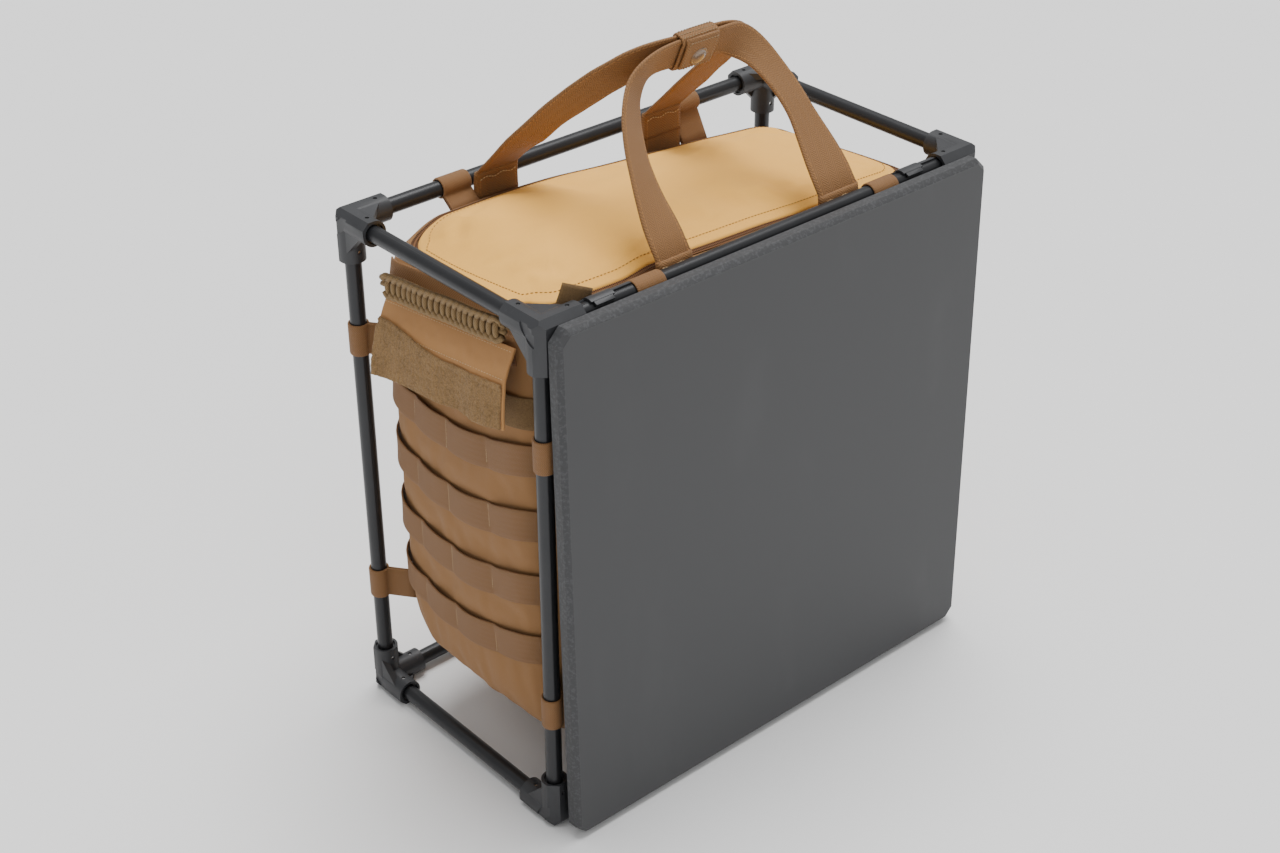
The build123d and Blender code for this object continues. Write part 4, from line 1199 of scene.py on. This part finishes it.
def build_hook_tabs():
    """One tab that stands beside the front left hub, and one that lies on the left end wall."""
    tilt = math.radians(27)
    rising, level = Vector((math.sin(tilt), 0, math.cos(tilt))), Vector((math.cos(tilt), 0, -math.sin(tilt)))
    standing = []
    for k in range(18):
        foot = Vector((-176, -92.0 - 1.2 * math.sin(k / 17 * 2.6), 387.6))
        standing.append((foot + rising * (38 * k / 17), level, Vector((0, -1, 0))))
    lying = wall_stations(-1, [-80.5 - 1.5 * k for k in range(6)], -25, 1.4)
    both = joined([ribbon(standing, strip_section(28, 2.0, 8)), ribbon(lying, strip_section(22, 1.8, 6))])
    piece("hook_tab_pieces", both, "hook", "pile_tape", "frame", ("hook_tabs",))


def leg_middle(foot, edge, angle):
    """Point on the middle line of one leg's arch."""
    inward = 1 - max(math.cos(angle), 0.0) ** ARCH_FULLNESS
    upward = math.sin(angle) ** ARCH_FULLNESS
    return Vector((foot.x + (edge.x - foot.x) * inward, foot.y + (edge.y - foot.y) * upward,
                   foot.z + (edge.z - foot.z) * upward))


def leg_stations(foot, edge, y_sign, leg_twist, foot_width, steps=30):
    """Stations of one leg of a carry strap, from its foot up to the edge of the wrap, each with its width."""
    side = -1 if foot.x < edge.x else 1
    rise = Vector((0, edge.y - foot.y, edge.z - foot.z))
    lean = rise.normalized()
    grip = millimetres("grip_width")
    stations = []
    for step in range(steps + 1):
        share = step / steps
        angle = math.radians(90 * share)
        middle = leg_middle(foot, edge, angle)
        along = (leg_middle(foot, edge, min(angle + 0.02, math.pi / 2))
                 - leg_middle(foot, edge, max(angle - 0.02, 0))).normalized()
        turned = ramp(share, 0.3, 1)
        upward = lean * (1 - turned) + WRAP_RISING * turned
        outward = ACROSS * (side * math.cos(angle) * rise.length)
        outward += upward * (math.sin(angle) * abs(foot.x - edge.x))
        across = square_to(outward, along)
        aside = along.cross(across)
        aside = aside if aside.y * y_sign > 0 else -aside
        twist = math.radians(leg_twist) * math.sin(math.pi * share)
        across = across * math.cos(twist) + aside * math.sin(twist)
        start = 1 - ramp(share, 0, 0.14)
        across = (across * (1 - start) + ACROSS * (side * start)).normalized()
        kink = 1.1 * noise.noise(Vector((share * 7, foot.x / 30, y_sign * 3))) * math.sin(math.pi * share)
        wide = grip + (foot_width - grip) * (1 - ramp(share, 0, 0.28))
        stations.append((middle + aside * kink, across * side, along, wide))
    return stations


def strap_line(name, y_sign, feet, wides):
    """(middle, across, along, width) from below one foot over the arch to below the other."""
    centre = WRAP_MIDDLE - WRAP_FACING * (y_sign * STRAPS_APART)
    edges = [centre - ACROSS * WRAP_HALF, centre + ACROSS * WRAP_HALF]
    left, right = [leg_stations(foot, edge, y_sign, twist, wide)
                   for foot, edge, twist, wide in zip(feet, edges, STRAP_TWISTS[name], wides)]
    line = [(feet[0] - UP * (44 - 5.4 * k), ACROSS, UP, wides[0]) for k in range(9)]
    line += left[1:]
    line += [(middle, across, -along, wide) for middle, across, along, wide in reversed(right[1:])]
    line += [(feet[1] - UP * (5.4 * k + 0.8), ACROSS, -UP, wides[1]) for k in range(9)]
    return line


def build_straps():
    width, thickness = millimetres("strap_width"), millimetres("strap_thickness")
    for y_sign, name, bulge in ((-1, "front", BULGES[0]), (1, "back", BULGES[1])):
        foot_y = y_sign * (BAG_HALF_DEPTH + bulge * RIM_BULGE + 1.3)
        feet = [Vector((x, foot_y, FOOT_TOP)) for x in STRAP_FEET[name]]
        wides = [share * width for share in FOOT_WIDTHS[name]]
        stations = []
        last = ACROSS
        for middle, across, along, wide in strap_line(name, y_sign, feet, wides):
            last = -across if across.dot(last) < 0 else across
            stations.append((middle, last * (wide / width), along.cross(last)))
        strap = ribbon(stations, strip_section(width, thickness, 10))
        piece(f"carry_strap_{name}", strap, "strap", "webbing_tan", "frame", (f"carry_handle_{name}",))
        spots = []
        aside = width / 2 - 3.2
        for edge in (-1, 1):
            for face in (-1, 1):
                seam = [m + a * (edge * aside) + o * (face * thickness / 2) for m, a, o in stations]
                for k in range(len(seam) - 1):
                    spots += spread_along(seam[k:k + 2], 3.0, stations[k][2] * face)
        beads(f"strap_stitches_{name}", spots, (millimetres("stitch_length"), 0.8, 0.5), "strap thread")
        build_foot_patches(name, y_sign, feet, wides)


def build_foot_patches(name, y_sign, feet, wides):
    """Doubled webbing over each foot of a strap, and its wavy seam."""
    thickness = millimetres("strap_thickness")
    patches, spots = [], []
    for foot, wide in zip(feet, wides):
        middle = Vector((foot.x, foot.y + y_sign * 0.4, 0))
        patch = [(middle + Vector((0, y_sign * 1.1 * math.sin((z - 397) / 6), z)), ACROSS,
                  Vector((0, y_sign, 0))) for z in range(397, 419, 3)]
        patches.append(ribbon(patch, strip_section(wide + 1.0, thickness + 1.8, 8)))
        for face in (-1, 1):
            seam = [middle + Vector((x, face * (thickness / 2 + 1.7), 413.2 + 0.8 * math.sin(x / 2.3)))
                    for x in range(int(1.5 - wide / 2), int(wide / 2))]
            spots += spread_along(seam, 2.6, Vector((0, face, 0)))
    piece(f"strap_foot_patches_{name}", joined(patches), "strap", "webbing_tan")
    beads(f"strap_foot_stitches_{name}", spots, (2.1, 0.9, 0.6), "thread")


def wrap_point(x, out, up):
    """Point in the wrap's own leaning frame; out is towards the front."""
    c, s = math.cos(WRAP_LEAN), math.sin(WRAP_LEAN)
    return WRAP_MIDDLE + Vector((x, -out * c - up * s, -out * s + up * c))


def rounded_loop(half_y, half_z, corner, steps=7, longest=3):
    """Points round a rectangle with round corners, none much further apart than the longest step."""
    loop = []
    for y_sign, z_sign, first in ((1, 1, 0), (-1, 1, 90), (-1, -1, 180), (1, -1, 270)):
        for k in range(steps + 1):
            a = math.radians(first + 90 * k / steps)
            loop.append((y_sign * (half_y - corner) + corner * math.cos(a),
                         z_sign * (half_z - corner) + corner * math.sin(a)))
    fine = []
    for (a, b), (c, d) in zip(loop, loop[1:] + loop[:1]):
        n = max(int(math.hypot(c - a, d - b) / longest), 1)
        fine += [(a + (c - a) * k / n, b + (d - b) * k / n) for k in range(n)]
    return fine


def build_wrap():
    inside_z = (millimetres("grip_width") + 0.8) / 2
    fine = rounded_loop(WRAP_INSIDE + WRAP_CLOTH / 2, inside_z + WRAP_CLOTH / 2, 3.6)
    section = strip_section(34.0, WRAP_CLOTH, 8)
    points, flat = [], []
    run = 0.0
    for k, (out, up) in enumerate(fine):
        before, after = fine[k - 1], fine[(k + 1) % len(fine)]
        run += math.hypot(out - before[0], up - before[1])
        tangent = Vector((after[0] - before[0], after[1] - before[1])).normalized()
        normal = Vector((tangent.y, -tangent.x))
        for x, t in section:
            sag = 0.5 * noise.noise(Vector((x / 9, out / 8, up / 8)))
            points.append(wrap_point(x, out + normal.x * (t + sag), up - 0.4 + normal.y * (t + sag)))
            flat.append((run, x))
    piece("strap_wrap_sleeve", (points, ring_faces(len(fine), len(section), closed=True), flat), "strap",
          "webbing_tan", "frame", ("handle_wrap",), wrap=run)
    build_wrap_flap()
    spots = []
    for out in (-3.6, 0.0, 3.6):
        spots += spread_along([wrap_point(x, out, inside_z + 1.6) for x in (-16, 16)], 2.6, WRAP_RISING)
    beads("wrap_top_stitches", spots, (1.9, 0.6, 0.5), "brown thread")


def build_wrap_flap():
    """The wrap's front flap, curled in at its top, and the stitches round it."""
    near = WRAP_INSIDE + WRAP_CLOTH + 0.3
    drop = millimetres("grip_width")
    stations = []
    for k in range(27):
        up = drop / 2 + 2.2 - drop * k / 26
        bow = 0.7 * math.sin(math.pi * k / 26)
        curl = -1.2 * (1 - ramp(k, 0, 4))
        stations.append((wrap_point(0, near + 0.95 + bow + curl, up - 0.4), ACROSS, WRAP_FACING))
    piece("wrap_flap_cloth", ribbon(stations, strip_section(30.0, WRAP_CLOTH, 8)), "strap", "webbing_tan",
          "wrap_flap_body", ("wrap_flap",))
    half, high, deep = 12.6, drop / 2, 2.1 - drop / 2
    outline = [(-half, high), (-half, deep), (half, deep), (half, high), (-half, high)]
    line = [wrap_point(x, near + 2.35, up) for x, up in outline]
    beads("wrap_flap_stitches", spread_along(line, 2.6, WRAP_FACING), (1.9, 0.6, 0.5), "brown thread",
          "wrap_flap_body")


def lathe(profile, spot, axis, sides):
    """Turned piece: (radius, height) profile round an axis at a spot."""
    side = axis.cross(Vector((1, 0, 0.1))).normalized()
    other = axis.cross(side)
    points, flat = [], []
    for k, (r, h) in enumerate(profile):
        for j in range(sides):
            a = math.tau * j / sides
            points.append(spot + axis * h + (side * math.cos(a) + other * math.sin(a)) * max(r, 0.01))
            flat.append((r * 6 * j / sides, h))
    return points, ring_faces(len(profile), sides, ends=True), flat


def build_snap():
    behind = WRAP_INSIDE + WRAP_CLOTH           # the sleeve's face; the flap's own lies in front of it
    front = behind + 0.3 + WRAP_CLOTH
    for name, profile, out, sides, body, node in (
            ("snap_cap", CAP_PROFILE, front, 40, "wrap_flap_body", "snap_button"),
            ("snap_post", STUD_PROFILE, behind, 24, "frame", "snap_stud")):
        piece(name, lathe(profile, wrap_point(0, out, BUTTON_HEIGHT), WRAP_FACING, sides), "snap",
              "snap_brown", body, (node,), 60)


def slider_shape(spot, along, up, long=11.0, wide=8.0):
    """Zip slider: two waisted plates on a post, with a bridge over the top one."""
    side = along.cross(up)
    meshes = []
    outline = []
    for k in range(28):
        a = math.tau * k / 28
        waist = 1 - 0.22 * math.cos(a) ** 2 * (1 if math.cos(a) < 0 else 0.2)
        y = wide / 2 * math.copysign(abs(math.sin(a)) ** 0.6, math.sin(a)) * waist
        outline.append((long / 2 * math.cos(a), y))
    for low, top in ((0.0, 1.1), (2.0, 3.0)):
        points = [spot + along * (x * f) + side * (y * f) + up * h
                  for f, h in ((0.94, low), (1.0, low + 0.25), (1.0, top - 0.25), (0.94, top))
                  for x, y in outline]
        meshes.append((points, ring_faces(4, len(outline), ends=True), [(0.0, 0.0)] * len(points)))
    bridge = [spot + along * (3.6 - 0.72 * k) + up * (2.9 + 0.7 * math.sin(math.pi * k / 10))
              for k in range(11)]
    post = [spot + along * 3.0 + up * (0.4 + 0.5 * k) for k in range(5)]
    return joined(meshes + [tube(bridge, 0.55), tube(post, 1.0)])


def build_sliders():
    turn = math.radians(2.2)                    # the zip's own direction at the slider
    run = Vector((math.cos(turn), -math.sin(turn), 0))
    piece("lid_slider_shell", slider_shape(Vector((-146, -78.37, 402.4)), run, UP), "slider",
          "slider_metal", "lid_slider", ("zip_slider",), 50)
    reaches = ((-0.8, 0.8), (0, 1), (1, 1), (5, 0.8), (10, 0.8), (14, 1), (24, 1), (27, 0.95), (28.6, 0.8),
               (29.4, 0.55), (29.8, 0.25))      # from the pull's hinge, and the share of its width there
    stations = [(Vector((-152.5, -78.13, 403.2)) - run * reach, Vector((run.y, -run.x, 0)) * wide, UP)
                for reach, wide in reaches]
    piece("lid_pull_tab", ribbon(stations, strip_section(6.5, 1.5, 4)), "slider", "slider_metal", "lid_pull",
          ("zip_pull",), 50)
    for side, name in ((-1, "left"), (1, "right")):
        spot = end_point(side, POCKET_ZIP_OUT + 0.5 - FLAP_HINGE[0], -58, POCKET_ZIP_HEIGHT)
        piece(f"pocket_slider_{name}_shell", slider_shape(spot, -END_RUN, ACROSS * side), "slider",
              "slider_metal", f"{name}_slider", (f"pocket_slider_{name}",), 50)


def build_stage():
    mesh = bpy.data.meshes.new("floor")
    mesh.from_pydata([(x * 60.0, y * 60.0, 0) for x, y in ((-1, -1), (1, -1), (1, 1), (-1, 1))], [],
                     [(0, 1, 2, 3)])
    g = Graph("studio floor")
    tone = g.mix(g.noise(g.spot, 3.0), shade((1, 1, 1), 0.86), shade((1, 1, 1), 0.9))
    mesh.materials.append(g.finish(Base_Color=tone, Roughness=0.6, Specular_IOR_Level=0.2))
    added("floor", mesh)
    world = bpy.data.worlds.new("studio")
    world.use_nodes = True
    sky = world.node_tree.nodes["Background"].inputs
    sky["Color"].default_value, sky["Strength"].default_value = (1, 1, 1, 1), 0.5
    bpy.context.scene.world = world
    for name, spot, angle, power in (("overhead", (0.5, 0.25, 2.2), 45, 3.6),
                                     ("front", (-0.3, -1.6, 1.5), 60, 0.5)):
        lamp = bpy.data.lights.new(name, "SUN")
        lamp.energy, lamp.angle = power, math.radians(angle)
        made = added(name, lamp)
        made.location = spot
        made.rotation_euler = Vector(spot).to_track_quat("Z", "Y").to_euler()
    azimuth, elevation, roll = (math.radians(a) for a in (-41.2762, 31.6497, -0.1495))
    back = Vector((math.sin(azimuth) * math.cos(elevation), -math.cos(azimuth) * math.cos(elevation),
                   math.sin(elevation)))
    right = Vector((-back.y, back.x, 0)).normalized()
    up = back.cross(right)
    level_right = right * math.cos(roll) + up * math.sin(roll)
    level_up = up * math.cos(roll) - right * math.sin(roll)
    lens = bpy.data.cameras.new("camera")
    lens.lens, lens.sensor_width, lens.clip_end = 58.05, 36.0, 100.0
    camera = added("camera", lens)
    spot = Vector((-903.0, -1000.6 + Y_SHIFT, 1028.9 + LOW)) * 0.001
    camera.matrix_world = Matrix((
        (level_right.x, level_up.x, back.x, spot.x), (level_right.y, level_up.y, back.y, spot.y),
        (level_right.z, level_up.z, back.z, spot.z), (0, 0, 0, 1)))
    bpy.context.scene.camera = camera


# ------------------------------------------------------------------------------- add-on
class CampTablePoles(Operator):
    """Round the poles' edges and give them their satin finish."""

    bl_idname = "camp_table.poles"
    bl_label = "Poles"

    def execute(self, context):
        build_poles()
        return {"FINISHED"}


class CampTableHubs(Operator):
    """Round the moulded hubs and give their pins a bright finish."""

    bl_idname = "camp_table.hubs"
    bl_label = "Hubs"

    def execute(self, context):
        build_hubs()
        return {"FINISHED"}


class CampTableBoard(Operator):
    """Give the board its textured face and worn edges."""

    bl_idname = "camp_table.board"
    bl_label = "Board"

    def execute(self, context):
        build_board()
        return {"FINISHED"}


class CampTableClips(Operator):
    """Round the clips that hold the board, and their screws."""

    bl_idname = "camp_table.clips"
    bl_label = "Board clips"

    def execute(self, context):
        build_clips()
        return {"FINISHED"}


class CampTableBag(Operator):
    """Make the bag's cloth shell, filled out between its seams."""

    bl_idname = "camp_table.bag"
    bl_label = "Bag"

    def execute(self, context):
        build_bag()
        return {"FINISHED"}


class CampTableLid(Operator):
    """Make the domed lid and its row of stitches."""

    bl_idname = "camp_table.lid"
    bl_label = "Lid"

    def execute(self, context):
        build_lid()
        return {"FINISHED"}


class CampTableLidZip(Operator):
    """Run the zip's tapes and coil round the lid, but for its sewn left end."""

    bl_idname = "camp_table.lid_zip"
    bl_label = "Lid zip"

    def execute(self, context):
        build_lid_zip()
        return {"FINISHED"}


class CampTablePoleLoops(Operator):
    """Fold webbing round the poles and sew it to the bag."""

    bl_idname = "camp_table.pole_loops"
    bl_label = "Pole loops"

    def execute(self, context):
        build_loops()
        return {"FINISHED"}


class CampTableAttachmentRows(Operator):
    """Sew the rows of webbing across both ends."""

    bl_idname = "camp_table.attachment_rows"
    bl_label = "Attachment rows"

    def execute(self, context):
        build_rows()
        return {"FINISHED"}


class CampTableEndPockets(Operator):
    """Make the flaps, their pile and the zips under them."""

    bl_idname = "camp_table.end_pockets"
    bl_label = "End pockets"

    def execute(self, context):
        build_pockets()
        return {"FINISHED"}


class CampTableGrabHandle(Operator):
    """Knot the cord of the grab handle on the left end."""

    bl_idname = "camp_table.grab_handle"
    bl_label = "Grab handle"

    def execute(self, context):
        build_grab_handle()
        return {"FINISHED"}


class CampTableHookTabs(Operator):
    """Make the hook-faced tabs at the front left corner."""

    bl_idname = "camp_table.hook_tabs"
    bl_label = "Hook tabs"

    def execute(self, context):
        build_hook_tabs()
        return {"FINISHED"}


class CampTableCarryStraps(Operator):
    """Bend both carry straps from their feet up to the wrap."""

    bl_idname = "camp_table.carry_straps"
    bl_label = "Carry straps"

    def execute(self, context):
        build_straps()
        return {"FINISHED"}


class CampTableStrapWrap(Operator):
    """Make the sleeve and flap that hold the straps together."""

    bl_idname = "camp_table.strap_wrap"
    bl_label = "Strap wrap"

    def execute(self, context):
        build_wrap()
        return {"FINISHED"}


class CampTablePressStud(Operator):
    """Turn the press stud's cap and post."""

    bl_idname = "camp_table.press_stud"
    bl_label = "Press stud"

    def execute(self, context):
        build_snap()
        return {"FINISHED"}


class CampTableZipSliders(Operator):
    """Make the zips' sliders and the lid's pull."""

    bl_idname = "camp_table.zip_sliders"
    bl_label = "Zip sliders"

    def execute(self, context):
        build_sliders()
        return {"FINISHED"}


class CampTableStage(Operator):
    """Set out the floor, the lights and the camera."""

    bl_idname = "camp_table.stage"
    bl_label = "Stage"

    def execute(self, context):
        build_stage()
        return {"FINISHED"}


PIECES = (CampTablePoles, CampTableHubs, CampTableBoard, CampTableClips, CampTableBag, CampTableLid,
          CampTableLidZip, CampTablePoleLoops, CampTableAttachmentRows, CampTableEndPockets,
          CampTableGrabHandle, CampTableHookTabs, CampTableCarryStraps, CampTableStrapWrap,
          CampTablePressStud, CampTableZipSliders, CampTableStage)


class CampTablePanel(Panel):
    """Lists the table's sizes, colours and pieces."""

    bl_idname = "VIEW3D_PT_camp_table"
    bl_label = "Camp kitchen table"
    bl_space_type = "VIEW_3D"
    bl_region_type = "UI"
    bl_category = "Camp table"

    def draw(self, context):
        for heading, group in (("Sizes", context.scene.camp_table_sizes),
                               ("Colours", context.scene.camp_table_colours)):
            column = self.layout.column(align=True)
            column.label(text=heading)
            for name in group.__annotations__:
                column.prop(group, name)
        column = self.layout.column(align=True)
        column.label(text="Pieces")
        for operator in PIECES:
            column.operator(operator.bl_idname)


CLASSES = (CampTableSizes, CampTableColours) + PIECES + (CampTablePanel,)


def register():
    for each in CLASSES:
        bpy.utils.register_class(each)
    bpy.types.Scene.camp_table_sizes = PointerProperty(type=CampTableSizes)
    bpy.types.Scene.camp_table_colours = PointerProperty(type=CampTableColours)


def unregister():
    del bpy.types.Scene.camp_table_colours
    del bpy.types.Scene.camp_table_sizes
    for each in reversed(CLASSES):
        bpy.utils.unregister_class(each)


def main():
    register()
    for operator in PIECES:
        group, name = operator.bl_idname.split(".")
        getattr(getattr(bpy.ops, group), name)()


if __name__ == "__main__":
    main()
